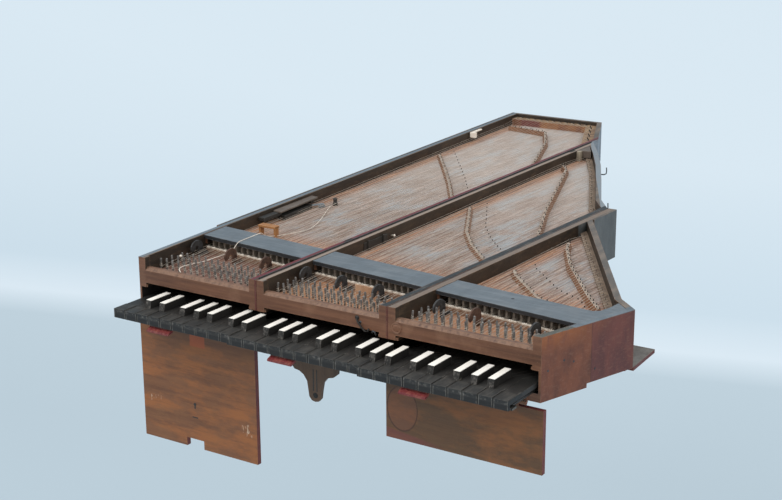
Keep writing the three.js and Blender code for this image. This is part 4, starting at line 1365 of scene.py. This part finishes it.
@dataclass(frozen=True)
class Pins:
    """Tuning pins with their coils, bridge pins, hitch pins and string loops.

    All are drawn a little thicker than real, so that they show.
    """

    section: Section
    shop: Workshop
    offset: float = 1.65
    coil_radius: float = 1.8
    coil_wire: float = 0.45
    coil_steps: int = 20
    coil_turn: int = 8
    coil_low: float = 6.0
    coil_height: float = 6.5
    pin_foot: float = 61.0
    pin_height: float = 22.8
    pin_uneven: float = 1.8
    pin_radii: tuple[float, ...] = (1.3, 1.3, 1.75, 1.6, 1.0)
    pin_steps: Place = (6.5, 5.5, 0.7)
    lean: float = 0.05
    lean_back: float = 0.03
    small_pin: Outline = ((0.85, -1.5), (0.85, 1.8), (0.4, 2.4))
    bridge_step: float = 2.2
    bridge_shift: float = 0.9
    long_rise: float = 10.0
    octave_rise: float = 6.0

    def coil(self, shape: Shape, x: float, y: float) -> None:
        """Winds the coil round a tuning pin.

        Args:
            shape: piece that gathers the coils.
            x: place of the pin along the keys.
            y: depth of the pin.
        """
        path = []
        for i in range(self.coil_steps + 1):
            angle = i * math.tau / self.coil_turn
            rise = self.coil_low + self.coil_height * i / self.coil_steps
            dx, dy = self.coil_radius * math.cos(angle), self.coil_radius * math.sin(angle)
            path.append((x + dx, y + dy, PLAN.plank_top + rise))
        shape.tube(path, self.coil_wire, 4)

    def tuning_pin(self, shape: Shape, x: float, y: float, dice: random.Random) -> None:
        """Sets a slender pin with a flat head, a little off upright.

        Args:
            shape: piece that gathers the pins.
            x: place along the keys.
            y: depth.
            dice: gives its height and lean.
        """
        top = self.pin_height - dice.uniform(0.0, self.pin_uneven)
        tilt = dice.uniform(-self.lean, self.lean), dice.uniform(-self.lean, self.lean_back)
        runs = (0.0, *(top - step for step in self.pin_steps), top)
        shape.turned((x, y, self.pin_foot), (*tilt, 1.0), list(zip(self.pin_radii, runs)), 6)

    def hitch_pin(self, pins: Shape, loops: Shape, share: float, choir: Choir) -> None:
        """Sets the pin at a string's far end, and the loop round it on the long hitch.

        Args:
            pins: piece that gathers the pins.
            loops: piece that gathers the loops.
            share: the string's share of the width.
            choir: its choir.
        """
        section = self.section
        y = section.end_y(share, choir)
        if choir is Choir.OCTAVE:
            y += 1.6
            place = (section.x(share, y), y, PLAN.board_top)
            pins.turned(place, (0.0, -0.2, 1.0), self.small_pin, 6)
        elif choir is Choir.FIRST or section is BASS:
            y += 2.0
            x = section.x(share, y)
            thick, tall = (1.1, 5.4) if section is BASS else (0.5, 2.4)
            pin = ((thick, -1.5), (thick, tall), (thick / 2, tall + 0.6))
            loop = ((thick * 1.2, 0.2), (thick, 1.6), (0.4, 1.9))
            pins.turned((x, y, section.hitch_z), (0.0, -0.15, 1.0), pin, 6)
            loops.turned((x, y - 1.5, section.hitch_z), UP, loop, 6)

    def build(self) -> Pieces:
        """Sets every pin of the section."""
        section, shop = self.section, self.shop
        kinds = ("coils", "tuning_pins", "bridge_pins", "hitch_pins", "string_loops")
        coils, tuning, bridge, hitch, loops = (Shape(f"{section.name}_{kind}") for kind in kinds)
        dice = random.Random(section.count + len(section.name))
        for share, choir in section.strings():
            y = section.pin_y(share, choir)
            x = section.x(share, y) - self.offset
            self.coil(coils, x, y)
            self.tuning_pin(tuning, x, y, dice)
            y = section.bridge_y(share, choir)
            y += -self.bridge_step if choir is Choir.FIRST else self.bridge_step
            rise = self.octave_rise if choir is Choir.OCTAVE else self.long_rise
            place = (section.x(share, y) + self.bridge_shift, y, PLAN.board_top + rise)
            bridge.turned(place, UP, self.small_pin, 6)
            self.hitch_pin(hitch, loops, share, choir)
        return [
            coils.make(section.name, "wire", shop.wire, smooth=True),
            tuning.make(section.name, "iron", shop.tuning),
            bridge.make(section.name, "iron", shop.black),
            hitch.make(section.name, "iron", shop.forged),
            loops.make(section.name, "wire", shop.wire),
        ]


@dataclass(frozen=True)
class Strings:
    """The wires of a section and the nut that they cross.

    A real wire is 0.2 to 0.4 mm thick, and is drawn 0.5 mm thick so that it shows.
    """

    section: Section
    shop: Workshop
    radius: float = 0.25
    at_pin: float = 69.5
    at_nut: float = 73.4
    nut_line: float = 7.5
    long_rise: float = 10.5
    octave_rise: float = 6.5
    octave_end: float = 1.0
    hitch_rise: float = 1.2
    nut_steps: tuple[tuple[float, float, float, float], ...] = (
        (11.0, 4.0, 62.2, 70.6),
        (9.4, 5.6, 70.4, 73.0),
    )
    nut_pin: Outline = ((0.45, -1.0), (0.45, 1.4), (0.2, 1.7))

    def wires(self) -> bpy.types.Object:
        """Strings the section from tuning pin over nut and bridge to hitch pin."""
        section = self.section
        shape = Shape(f"{section.name}_wires")
        for share, choir in section.strings():
            octave = choir is Choir.OCTAVE
            nut_y = PLAN.gap_front(section.x(share, PLAN.gap_at_fold)) - self.nut_line
            rise = self.octave_rise if octave else self.long_rise
            end = PLAN.board_top + self.octave_end if octave else section.hitch_z + self.hitch_rise
            places = (
                (section.pin_y(share, choir), self.at_pin),
                (nut_y, self.at_nut),
                (section.bridge_y(share, choir), PLAN.board_top + rise),
                (section.end_y(share, choir), end),
            )
            shape.tube([(section.x(share, y), y, z) for y, z in places], self.radius, 5)
        name = f"{section.name}_strings"
        return shape.make(section.name, "wire", self.shop.wire, replaces=name)

    def nut(self) -> bpy.types.Object:
        """Lays the nut between the section's walls, along the jacks' gap."""
        ends = {
            "bass": (PLAN.spine(130.0) + 15.6, -16.2),
            "middle": (16.2, PLAN.swing(115.0) - 16.2),
            "treble": (PLAN.swing(115.0) + 18.4, PLAN.cheek_x(80.0) - 15.8),
        }[self.section.name]
        shape = Shape(f"{self.section.name}_nut")
        for near, far, low, high in self.nut_steps:
            outline = [(x, PLAN.gap_front(x) - near) for x in ends]
            outline += [(x, PLAN.gap_front(x) - far) for x in reversed(ends)]
            shape.prism(outline, low, high)
        return shape.make(self.section.name, "inner", NUT.material(nut_zones), 0.4)

    def nut_pins(self) -> bpy.types.Object:
        """Sets a small pin beside each string on the nut."""
        shape = Shape(f"{self.section.name}_nut_pins")
        for share, _ in self.section.strings():
            x = self.section.x(share, PLAN.gap_at_fold)
            shape.turned((x + 0.9, PLAN.gap_front(x) - 8.2, 73.0), UP, self.nut_pin, 6)
        return shape.make(self.section.name, "iron", self.shop.forged)

    def build(self) -> Pieces:
        """Builds wires, nut and its pins."""
        return [self.wires(), self.nut(), self.nut_pins()]


@dataclass(frozen=True)
class StopLevers:
    """The nine stop levers: foot bar, stalk and curled head, hammered from flat iron."""

    shop: Workshop
    thickness: float = 2.8
    arc: tuple[float, float, int] = (-35.0, 250.0, 14)
    outer: tuple[float, float, float, float] = (15.0, 11.2, -6.0, 79.2)
    inner: tuple[float, float, float, float] = (4.2, 3.4, -6.5, 77.6)
    stalk: Outline = ((-2.0, 62.5), (9.0, 62.5), (9.5, 77.0), (-2.0, 76.0))
    foot: Outline = ((0.0, 62.5), (21.0, 62.5), (21.0, 65.6), (0.0, 65.6))
    reach: float = 18.0
    stud_line: float = 15.0
    stud_foot: float = 62.4
    stud: Outline = ((3.2, 0.0), (3.2, 4.2), (1.6, 5.4))
    share: float = 0.34
    cells: tuple[tuple[int, int, int], ...] = ((0, 6, 12), (0, 6, 12), (1, 6, 14))
    rusty: tuple[str, ...] = ("bass_2", "bass_3", "treble_2")

    def head(self) -> list[Span]:
        """Outline of the curled head, as depth and height."""
        start, sweep, steps = self.arc
        turns = [math.radians(start + sweep * i / steps) for i in range(steps + 1)]
        outline = []
        for size, angles in ((self.outer, turns), (self.inner, turns[::-1])):
            wide, tall, run, rise = size
            outline += [(wide * math.cos(a) + run, rise + tall * math.sin(a)) for a in angles]
        return outline

    def build(self) -> Pieces:
        """Forges every lever along its own string line."""
        made = []
        rust = RUSTY.material()
        across = Vector((self.thickness * MM, 0.0, 0.0))
        for section, cells in zip(SECTIONS, self.cells):
            for number, key in enumerate(cells, 1):
                share = (key + self.share) / section.count
                y = PLAN.gap_front(section.x(share, PLAN.gap_at_fold)) - self.stud_line
                lever = Shape(f"{section.name}_crook_{number}")
                for plate in (self.head(), self.stalk, self.foot):
                    places = [(y - self.reach + run, z) for run, z in plate]
                    side = [PLAN.at(section.x(share, py), py, z) - across / 2 for py, z in places]
                    lever.plate(side, across)
                lever.turned((section.x(share, y), y, self.stud_foot), UP, self.stud, 10)
                look = rust if f"{section.name}_{number}" in self.rusty else self.shop.lever
                body = f"{section.name}_lever_{number}"
                name = f"{section.name}_stop_lever_{number}"
                made.append(lever.make(body, "iron", look, 0.5, replaces=name))
        return made


@dataclass(frozen=True)
class TrebleRail:
    """The treble's jack rail with the board that turns up along the cheek."""

    shop: Workshop
    left: float = PLAN.swing(100.0) + 12.6
    right: float = PLAN.cheek_x(80.0) - 11.0
    overlap: float = 8.0
    width: float = 50.0
    cheek_gap: float = 10.9
    cheek_depths: Place = (100.0, 130.0, 167.0)
    notch: Outline = ((491.0, 190.0), (488.0, 158.0), (483.0, 141.0), (474.0, 134.5))
    back_right: float = 440.0
    z: Span = (84.4, 90.4)

    def build(self) -> Pieces:
        """Cuts the board to its outline."""
        front = [(x, PLAN.gap_front(x) - self.overlap) for x in (self.left, self.right)]
        cheek = [(PLAN.cheek_x(y) - self.cheek_gap, y) for y in self.cheek_depths]
        ends = (self.back_right, self.left)
        back = [(x, PLAN.gap_front(x) + self.width) for x in ends]
        shape = Shape("treble_rail_board")
        shape.prism([*front, *cheek, *self.notch, *back], *self.z)
        look = self.shop.rail
        return [shape.make("treble", "paint", look, 0.5, replaces="treble_jack_rail")]


@dataclass(frozen=True)
class LooseString:
    """The loose pale string over the bass section, from the spine to its pins."""

    shop: Workshop
    diameter: float = 1.1
    slack: float = 1.005
    path: tuple[Place, ...] = (
        (-200.0, 470.0, 71.6),
        (-186.0, 440.0, 72.0),
        (-160.0, 385.0, 72.4),
        (-146.0, 350.0, 72.2),
        (-140.0, 318.0, 72.0),
        (-146.0, 286.0, 72.6),
        (-156.0, 252.0, 74.5),
        (-158.0, 230.0, 79.0),
        (-154.0, 216.0, 86.0),
        (-152.0, 207.0, 90.3),
        (-151.0, 199.0, 90.98),
        (-150.5, 186.0, 90.98),
        (-150.0, 166.0, 90.98),
        (-149.0, 151.0, 90.98),
        (-148.5, 144.5, 90.4),
        (-149.0, 138.0, 86.0),
        (-150.0, 132.0, 80.5),
        (-152.0, 122.0, 78.0),
        (-153.0, 104.0, 77.4),
        (-155.0, 84.0, 77.2),
        (-157.0, 64.0, 77.2),
        (-162.0, 44.0, 77.6),
        (-163.0, 26.0, 78.5),
        (-157.0, 12.0, 78.6),
        (-149.0, 6.0, 76.6),
    )

    def build(self) -> Pieces:
        """Lays the string along its path."""
        data = bpy.data.curves.new("loose_string", "CURVE")
        data.dimensions = "3D"
        data.bevel_depth = self.diameter / 2 * MM
        data.bevel_resolution = 3
        data.resolution_u = 4
        spline = data.splines.new("BEZIER")
        spline.bezier_points.add(len(self.path) - 1)
        knots = spline.bezier_points
        for knot, place in zip(knots, self.path):
            knot.co = PLAN.at(*place)
            knot.handle_left_type = knot.handle_right_type = "AUTO"
        data.materials.append(self.shop.cream)
        string = bpy.data.objects.new("loose_string", data)
        bpy.context.scene.collection.objects.link(string)
        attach(string, "bass")
        return [string]


@dataclass(frozen=True)
class BassFittings:
    """The small things on the bass section's soundboard, seam and spine."""

    shop: Workshop
    frame_legs: tuple[Span, Span] = ((-189.0, -185.5), (-158.5, -155.0))
    frame_leg: tuple[Span, Span] = ((249.0, 259.0), (70.1, 89.0))
    frame_top: tuple[Span, Span, Span] = ((-189.0, -155.0), (247.0, 261.0), (86.6, 90.4))
    lath: Outline = ((-232.0, 345.0), (-214.0, 343.0), (-222.0, 462.0), (-237.0, 464.0))
    lath_z: Span = (84.0, 87.0)
    # A black block under the lath, as painted shade in the gap below it.
    shade_block: Outline = ((-232.0, 352.0), (-212.0, 350.0), (-219.0, 440.0), (-236.0, 442.0))
    shade_block_z: Span = (70.1, 78.0)
    head: Outline = ((-230.0, 300.0), (-217.0, 300.0), (-219.0, 350.0), (-231.0, 352.0))
    head_z: Span = (79.0, 85.0)
    rests: Span = (352.0, 452.0)
    rest_x: Span = (-231.0, -222.0)
    rest_half: float = 4.0
    rest_z: Span = (77.0, 84.0)
    blade: Outline = ((-236.0, 428.0), (-228.0, 424.0), (-208.0, 462.0), (-211.0, 466.0))
    blade_z: Span = (74.5, 76.5)
    blade_foot: Outline = ((-214.0, 452.0), (-209.0, 452.0), (-206.0, 462.0), (-211.0, 464.0))
    blade_foot_z: Span = (70.1, 74.6)
    knob: Place = (-198.0, 482.0, 70.0)
    knob_profile: Outline = (
        (4.5, 0.1),
        (4.8, 4.0),
        (3.2, 6.0),
        (3.6, 9.0),
        (4.2, 12.0),
        (2.5, 13.5),
    )
    pin_head: Place = (-188.0, 52.0, 83.6)
    pin_head_profile: Outline = ((1.4, 0.0), (2.3, 1.0), (2.3, 2.2), (1.2, 3.2))
    stud_depths: tuple[float, ...] = (262.0, 276.0, 290.0, 304.0)
    stud_x: float = -3.2
    stud_z: float = 90.9
    stud_profile: Outline = ((2.6, 0.0), (2.4, 0.25), (1.2, 0.3))
    stud_plate: tuple[Span, Span, Span] = ((-9.5, -5.0), (236.0, 258.0), (90.6, 91.0))
    block: Outline = ((-279.0, 1080.0), (-264.0, 1080.0), (-266.0, 1112.0), (-281.0, 1112.0))
    block_z: Span = (74.0, 90.95)
    bracket: Outline = ((-264.0, 1076.0), (-250.0, 1076.0), (-250.0, 1082.0), (-264.0, 1082.0))
    bracket_z: Span = (80.0, 91.0)
    arm: Outline = ((-264.0, 1082.0), (-258.0, 1082.0), (-260.0, 1122.0), (-266.0, 1122.0))
    arm_z: Span = (88.5, 91.0)
    spine_depth: float = 452.0
    spine_profile: Outline = ((3.4, 0.0), (3.4, 0.6), (2.2, 1.1))

    def laths(self) -> Pieces:
        """Builds the lath along the spine, its rests with a black block below it as painted shade,
        and the loose blade beside it.
        """
        lath = Shape("spine_lath").prism(self.lath, *self.lath_z)
        rests = Shape("lath_rests").prism(self.shade_block, *self.shade_block_z).prism(self.head, *self.head_z)
        for y in self.rests:
            shift = (y - self.rests[0]) * PLAN.wedge * 0.991
            span = (self.rest_x[0] - shift, self.rest_x[1] - shift)
            rests.block(span, (y - self.rest_half, y + self.rest_half), self.rest_z)
        blade = Shape("loose_lath").prism(self.blade, *self.blade_z)
        blade.prism(self.blade_foot, *self.blade_foot_z)
        return [
            lath.make("bass", "inner", self.shop.oak, 0.6),
            rests.make("bass", "inner", self.shop.black, 0.4),
            blade.make("bass", "paint", self.shop.blue, 0.3),
        ]

    def build(self) -> Pieces:
        """Builds the frame, laths, knobs, studs and the block on the spine."""
        shop = self.shop
        frame = Shape("guide_frame")
        for leg in self.frame_legs:
            frame.block(leg, *self.frame_leg)
        frame.block(*self.frame_top)
        studs = Shape("seam_studs")
        for y in self.stud_depths:
            studs.turned((self.stud_x, y, self.stud_z), UP, self.stud_profile, 10)
        studs.block(*self.stud_plate)
        bracket = Shape("pale_bracket").prism(self.bracket, *self.bracket_z)
        bracket.prism(self.arm, *self.arm_z)
        spine = (PLAN.spine(self.spine_depth) + 4.0, self.spine_depth, 89.8)
        knob = Shape("black_knob").turned(self.knob, UP, self.knob_profile)
        head = Shape("pale_pin_head").turned(self.pin_head, UP, self.pin_head_profile)
        block = Shape("spine_block").prism(self.block, *self.block_z)
        spine_knob = Shape("spine_knob").turned(spine, UP, self.spine_profile)
        return [
            frame.make("bass", "inner", shop.cherry, 0.6),
            *self.laths(),
            knob.make("bass", "iron", shop.black, smooth=True),
            head.make("bass", "iron", shop.cream, smooth=True),
            studs.make("bass", "iron", shop.forged),
            block.make("bass", "inner", shop.oak, 0.8),
            bracket.make("bass", "paint", shop.cream, 0.5),
            spine_knob.make("bass", "iron", shop.black, smooth=True),
        ]


@dataclass(frozen=True)
class MiddleFittings:
    """The plate, board, end block, latch and hooks of the middle section."""

    shop: Workshop
    plate: tuple[Span, Span, Span] = ((10.4, 12.0), (264.0, 332.0), (70.4, 84.0))
    straps: Span = (276.0, 320.0)
    strap: tuple[Span, Span] = ((11.8, 14.5), (70.4, 86.0))
    strap_half: float = 3.0
    board: Outline = ((116.0, 86.0), (154.0, 84.0), (154.0, 86.0), (116.0, 88.0))
    board_z: Span = (62.1, 81.5)
    wall_pin: Place = (11.0, 345.0, 78.0)
    wall_pin_profile: Outline = ((1.4, -1.0), (1.4, 5.0), (2.2, 5.4), (1.6, 7.0))
    block: Outline = ((10.6, 1040.0), (38.0, 1040.0), (12.0, 1088.0), (10.6, 1088.0))
    block_z: Span = (76.0, 90.6)
    post: tuple[Span, Span, Span] = ((10.6, 19.0), (1030.0, 1039.6), (70.2, 90.2))
    latch: tuple[Span, Span, Span] = ((2.5, 7.5), (1012.0, 1034.0), (90.6, 91.0))
    latch_pin: Place = (5.0, 1023.0, 90.6)
    latch_profile: Outline = ((2.2, 0.0), (2.2, 0.35), (1.0, 0.4))
    tail_hooks: tuple[tuple[str, float, float], ...] = (
        ("tail_hook_far", 107.0, 942.0),
        ("tail_hook_near", 226.0, 693.0),
    )
    tail_hook: tuple[Place, ...] = (
        (-2.0, 0.0, 72.0),
        (5.0, 2.0, 72.0),
        (9.0, 3.5, 74.0),
        (9.5, 4.0, 79.0),
        (9.0, 4.0, 86.0),
    )
    hook_base: Place = (178.0, 0.2, 66.0)
    hook_profile: Outline = ((3.4, 0.0), (3.4, 1.0), (1.6, 2.2))
    hook: tuple[Place, ...] = (
        (178.0, -2.0, 66.0),
        (181.0, -3.2, 61.0),
        (187.0, -3.4, 54.0),
        (193.0, -3.2, 49.0),
        (198.0, -3.0, 50.0),
        (199.0, -2.6, 54.0),
    )
    eye: tuple[Place, ...] = (
        (205.0, -0.5, 50.0),
        (205.0, -4.0, 50.0),
        (207.0, -5.0, 53.0),
        (210.0, -4.5, 52.0),
        (211.0, -3.0, 48.0),
        (209.0, 0.5, 46.0),
    )
    screw: Place = (183.0, 0.3, 60.0)
    screw_profile: Outline = ((2.4, -0.6), (2.4, 0.2), (1.8, 0.8), (0.6, 1.1))

    def hooks(self) -> Pieces:
        """Bends the hooks at the tail, and the hook and eye of the front."""
        made = []
        for name, x, y in self.tail_hooks:
            path = [(x + dx, y + dy, z) for dx, dy, z in self.tail_hook]
            hook = Shape(name).tube(path, 1.1, 8)
            made.append(hook.make("middle", "iron", self.shop.drawn, smooth=True))
        hook = Shape("front_hook").turned(self.hook_base, TO_PLAYER, self.hook_profile)
        hook.tube(self.hook, 1.4, 8)
        eye = Shape("front_eye").tube(self.eye, 1.1, 8)
        eye.turned(self.screw, TO_PLAYER, self.screw_profile, 10)
        made.append(hook.make("middle", "iron", self.shop.forged, smooth=True))
        made.append(eye.make("middle", "iron", self.shop.drawn, smooth=True))
        return made

    def build(self) -> Pieces:
        """Builds the fittings of the wall, the wooden pieces, the latch and the hooks."""
        shop = self.shop
        plate = Shape("wall_plate").block(*self.plate)
        x, z = self.strap
        for y in self.straps:
            plate.block(x, (y - self.strap_half, y + self.strap_half), z)
        board = Shape("plank_board").prism(self.board, *self.board_z)
        pin = Shape("wall_pin").turned(self.wall_pin, (1.0, 0.0, 0.1), self.wall_pin_profile)
        block = Shape("fold_end_block").prism(self.block, *self.block_z)
        post = Shape("fold_end_post").block(*self.post)
        latch = Shape("fold_latch").block(*self.latch)
        latch.turned(self.latch_pin, UP, self.latch_profile)
        return [
            plate.make("middle", "iron", shop.black, 0.4),
            board.make("middle", "inner", LIME.material(), 0.4),
            pin.make("middle", "iron", shop.cream, smooth=True),
            block.make("middle", "paint", shop.oak, 0.8),
            post.make("middle", "inner", shop.poplar, 0.5),
            latch.make("middle", "iron", shop.black),
            *self.hooks(),
        ]


@dataclass(frozen=True)
class TrebleFittings:
    """The turned boss on the front of the treble section, and its screws."""

    shop: Workshop
    boss: Place = (243.0, 0.2, 62.0)
    boss_profile: Outline = (
        (8.5, 0.0),
        (8.5, 0.8),
        (7.0, 1.5),
        (5.6, 0.9),
        (4.2, 1.6),
        (1.6, 2.0),
    )
    rail_screw: Place = (357.0, 124.0, 90.1)
    rail_profile: Outline = ((2.6, 0.0), (2.5, 0.4), (1.2, 0.8))
    cheek_screws: Outline = ((12.0, 42.0), (57.0, 44.0), (40.0, 50.0), (96.0, 24.0))
    cheek_profile: Outline = ((1.7, 0.0), (1.6, 0.35), (0.7, 0.5))
    sink: float = 0.2

    def build(self) -> Pieces:
        """Turns the boss and sets the screws square to the cheek."""
        boss = Shape("front_boss").turned(self.boss, TO_PLAYER, self.boss_profile, 20)
        screws = Shape("treble_screws").turned(self.rail_screw, UP, self.rail_profile)
        for y, z in self.cheek_screws:
            place = (PLAN.cheek_x(y) - self.sink, y, z)
            screws.turned(place, (1.0, -PLAN.cheek, 0.0), self.cheek_profile, 10)
        return [
            boss.make("treble", "case", self.shop.front),
            screws.make("treble", "iron", self.shop.drawn),
        ]


@dataclass(frozen=True)
class FlapFittings:
    """The keyhole of the bass flap, and the screw and straps of the tongue."""

    shop: Workshop
    hole: Place = (-122.0, -5.4, -128.0)
    hole_profile: Outline = ((2.6, 0.0), (2.6, 0.9), (2.0, 1.0))
    slot: tuple[Span, Span, Span] = ((-123.2, -120.8), (-6.3, -5.5), (-135.0, -128.0))
    latch: tuple[Span, Span, Span] = ((-128.0, -117.0), (-6.25, -5.5), (-150.5, -148.6))
    screw: Place = (107.5, -5.6, -64.0)
    screw_profile: Outline = ((4.6, -0.4), (4.6, 0.3), (3.8, 0.9), (1.2, 1.1))
    straps: tuple[Span, Span] = ((103.4, 105.2), (109.4, 111.2))
    strap: tuple[Span, Span] = ((-6.3, -5.0), (-58.0, -24.0))

    def build(self) -> Pieces:
        """Cuts the keyhole's iron and sets the tongue's."""
        hole = Shape("keyhole").turned(self.hole, TO_PLAYER, self.hole_profile)
        hole.block(*self.slot).block(*self.latch)
        screw = Shape("tongue_screw").turned(self.screw, TO_PLAYER, self.screw_profile, 14)
        strap = Shape("tongue_strap")
        for x in self.straps:
            strap.block(x, *self.strap)
        return [
            hole.make("bass_flap_body", "iron", self.shop.black),
            screw.make("tongue_body", "iron", self.shop.forged),
            strap.make("tongue_body", "flap", self.shop.black, 0.3),
        ]


@dataclass(frozen=True)
class Camera:
    """The photograph's camera, worked out from the keys and the straight seams."""

    sensor: float = 36.0
    picture: float = 782.0
    focal: float = 1477.6
    shift: Span = (-7.3, -1.4)
    azimuth: float = 32.83
    elevation: float = 16.22
    roll: float = -0.241
    place: Place = (1.4067, -1.6526, 0.7347)
    reach: float = 50.0

    def build(self) -> Pieces:
        """Sets the camera up; its place and reach are in metres, its focal length in pixels."""
        data = bpy.data.cameras.new("camera")
        data.sensor_width = self.sensor
        data.lens = self.focal * self.sensor / self.picture
        data.shift_x, data.shift_y = (part / self.picture for part in self.shift)
        data.clip_end = self.reach
        camera = bpy.data.objects.new("camera", data)
        bpy.context.scene.collection.objects.link(camera)
        turns = ((self.azimuth, "Z"), (90.0 - self.elevation, "X"), (self.roll, "Z"))
        matrix = Matrix.Translation(Vector(self.place))
        for angle, axis in turns:
            matrix = matrix @ Matrix.Rotation(math.radians(angle), 4, axis)
        camera.matrix_world = matrix
        bpy.context.scene.camera = camera
        return [camera]


@dataclass(frozen=True)
class Studio:
    """The plain pale floor that curves up behind, the sky colour and the soft lamps.

    Its sizes are in metres and its powers in watts.
    """

    half_width: float = 9.0
    front: float = -7.0
    level: float = -0.72
    bend: float = 3.6
    radius: float = 1.6
    steps: int = 16
    top: float = 7.0
    turn: float = 32.8
    seen_share: float = 0.84
    away: Place = (-0.281, 1.0085, 0.0)
    shades: tuple[tuple[float, float, str], ...] = (
        (1.2, 1.95, "#c3d5e0"),
        (1.9, 2.12, "#e2f0fa"),
        (2.14, 2.5, "#d3e5f1"),
        (2.6, 4.4, "#e2f1fb"),
    )
    aim: Place = (0.2, 0.35, 0.05)
    lamps: tuple[tuple[str, Place, float, float], ...] = (
        ("key_lamp", (-1.0, -1.8, 2.6), 2.2, 60.0),
        ("fill_lamp", (2.8, -1.2, 1.6), 2.4, 30.0),
        ("back_lamp", (0.6, 2.4, 2.6), 2.0, 26.0),
    )

    def paper(self) -> bpy.types.Material:
        """Matt pale paper, whose soft bands of light the eye sees and the lamps don't."""
        made = bpy.data.materials.new("paper_matt")
        t = NodeTree(made)
        away = t.add(Node.VECTOR_DOT, t.source["Object"], self.away)
        shade = "#bdcfda"
        for near, far, colour in self.shades:
            shade = t.lay(shade, colour, (away, near, far))
        share = t.add(Node.TIMES, t.add(Node.RAY), self.seen_share)
        lit = t.add(Node.SURFACE, "#bccdd9", 0.95)
        t.add(Node.MATERIAL_OUT, t.add(Node.BLEND, share, lit, t.add(Node.GLOW, shade)))
        return made

    def floor(self) -> bpy.types.Object:
        """Bends the floor up into the backdrop and stages it."""
        mesh = bmesh.new()
        profile = [(self.front, self.level)]
        for i in range(self.steps + 1):
            angle = i * math.pi / 2 / self.steps
            run, rise = self.radius * math.sin(angle), self.radius * (1 - math.cos(angle))
            profile.append((self.bend + run, self.level + rise))
        profile.append((self.bend + self.radius, self.top))
        line = [mesh.verts.new((-self.half_width, y, z)) for y, z in profile]
        edges = [mesh.edges.new(pair) for pair in zip(line, line[1:])]
        grown = bmesh.ops.extrude_edge_only(mesh, edges=edges)["geom"]
        corners = [part for part in grown if isinstance(part, bmesh.types.BMVert)]
        bmesh.ops.translate(mesh, vec=(2 * self.half_width, 0.0, 0.0), verts=corners)
        turn = Matrix.Rotation(math.radians(self.turn), 3, "Z")
        bmesh.ops.rotate(mesh, verts=mesh.verts, cent=(0.0, 0.0, 0.0), matrix=turn)
        data = bpy.data.meshes.new("floor")
        mesh.to_mesh(data)
        mesh.free()
        data.polygons.foreach_set("use_smooth", [True] * len(data.polygons))
        data.materials.append(self.paper())
        floor = bpy.data.objects.new("floor", data)
        bpy.context.scene.collection.objects.link(floor)
        floor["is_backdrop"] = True
        return floor

    def sky(self) -> None:
        """Lights the room evenly, with its own colour where the camera looks past the floor."""
        world = bpy.data.worlds.new("studio")
        bpy.context.scene.world = world
        t = NodeTree(world)
        lit, seen = t.add(Node.BACKGROUND, "#f5f5f4", 0.7), t.add(Node.BACKGROUND, "#dcebf6")
        t.add(Node.WORLD_OUT, t.add(Node.BLEND, t.add(Node.RAY), lit, seen))

    def build(self) -> Pieces:
        """Builds the floor, the sky and the lamps."""
        made = [self.floor()]
        self.sky()
        for name, place, size, power in self.lamps:
            data = bpy.data.lights.new(name, "AREA")
            data.size = size
            data.energy = power
            lamp = bpy.data.objects.new(name, data)
            bpy.context.scene.collection.objects.link(lamp)
            lamp.location = place
            aim = Vector(self.aim) - Vector(place)
            lamp.rotation_euler = aim.to_track_quat("-Z", "Y").to_euler()
            made.append(lamp)
        return made


def corners() -> list[list[float]]:
    """The least and greatest corner of everything that is seen, in metres."""
    return [list(map(float, corner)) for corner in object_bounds()]


def main() -> None:
    """Builds every sub-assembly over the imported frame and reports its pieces."""
    logging.basicConfig(level=logging.INFO)
    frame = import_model()
    bpy.context.scene.view_settings.view_transform = "Standard"
    shop = Workshop()
    makers = [
        Camera(),
        LooseString(shop),
        Studio(),
        Dressing(frame, shop),
        Keyboards(frame, shop),
        Planks(frame),
    ]
    for section in SECTIONS:
        makers += [Pins(section, shop), Strings(section, shop)]
    makers += [StopLevers(shop), TrebleRail(shop)]
    makers += [fitting(shop) for fitting in (BassFittings, MiddleFittings, TrebleFittings)]
    makers.append(FlapFittings(shop))
    for maker in makers:
        for piece in maker.build():
            LOG.info("%s: %s", type(maker).__name__, piece.name)


if __name__ == "__main__":
    main()
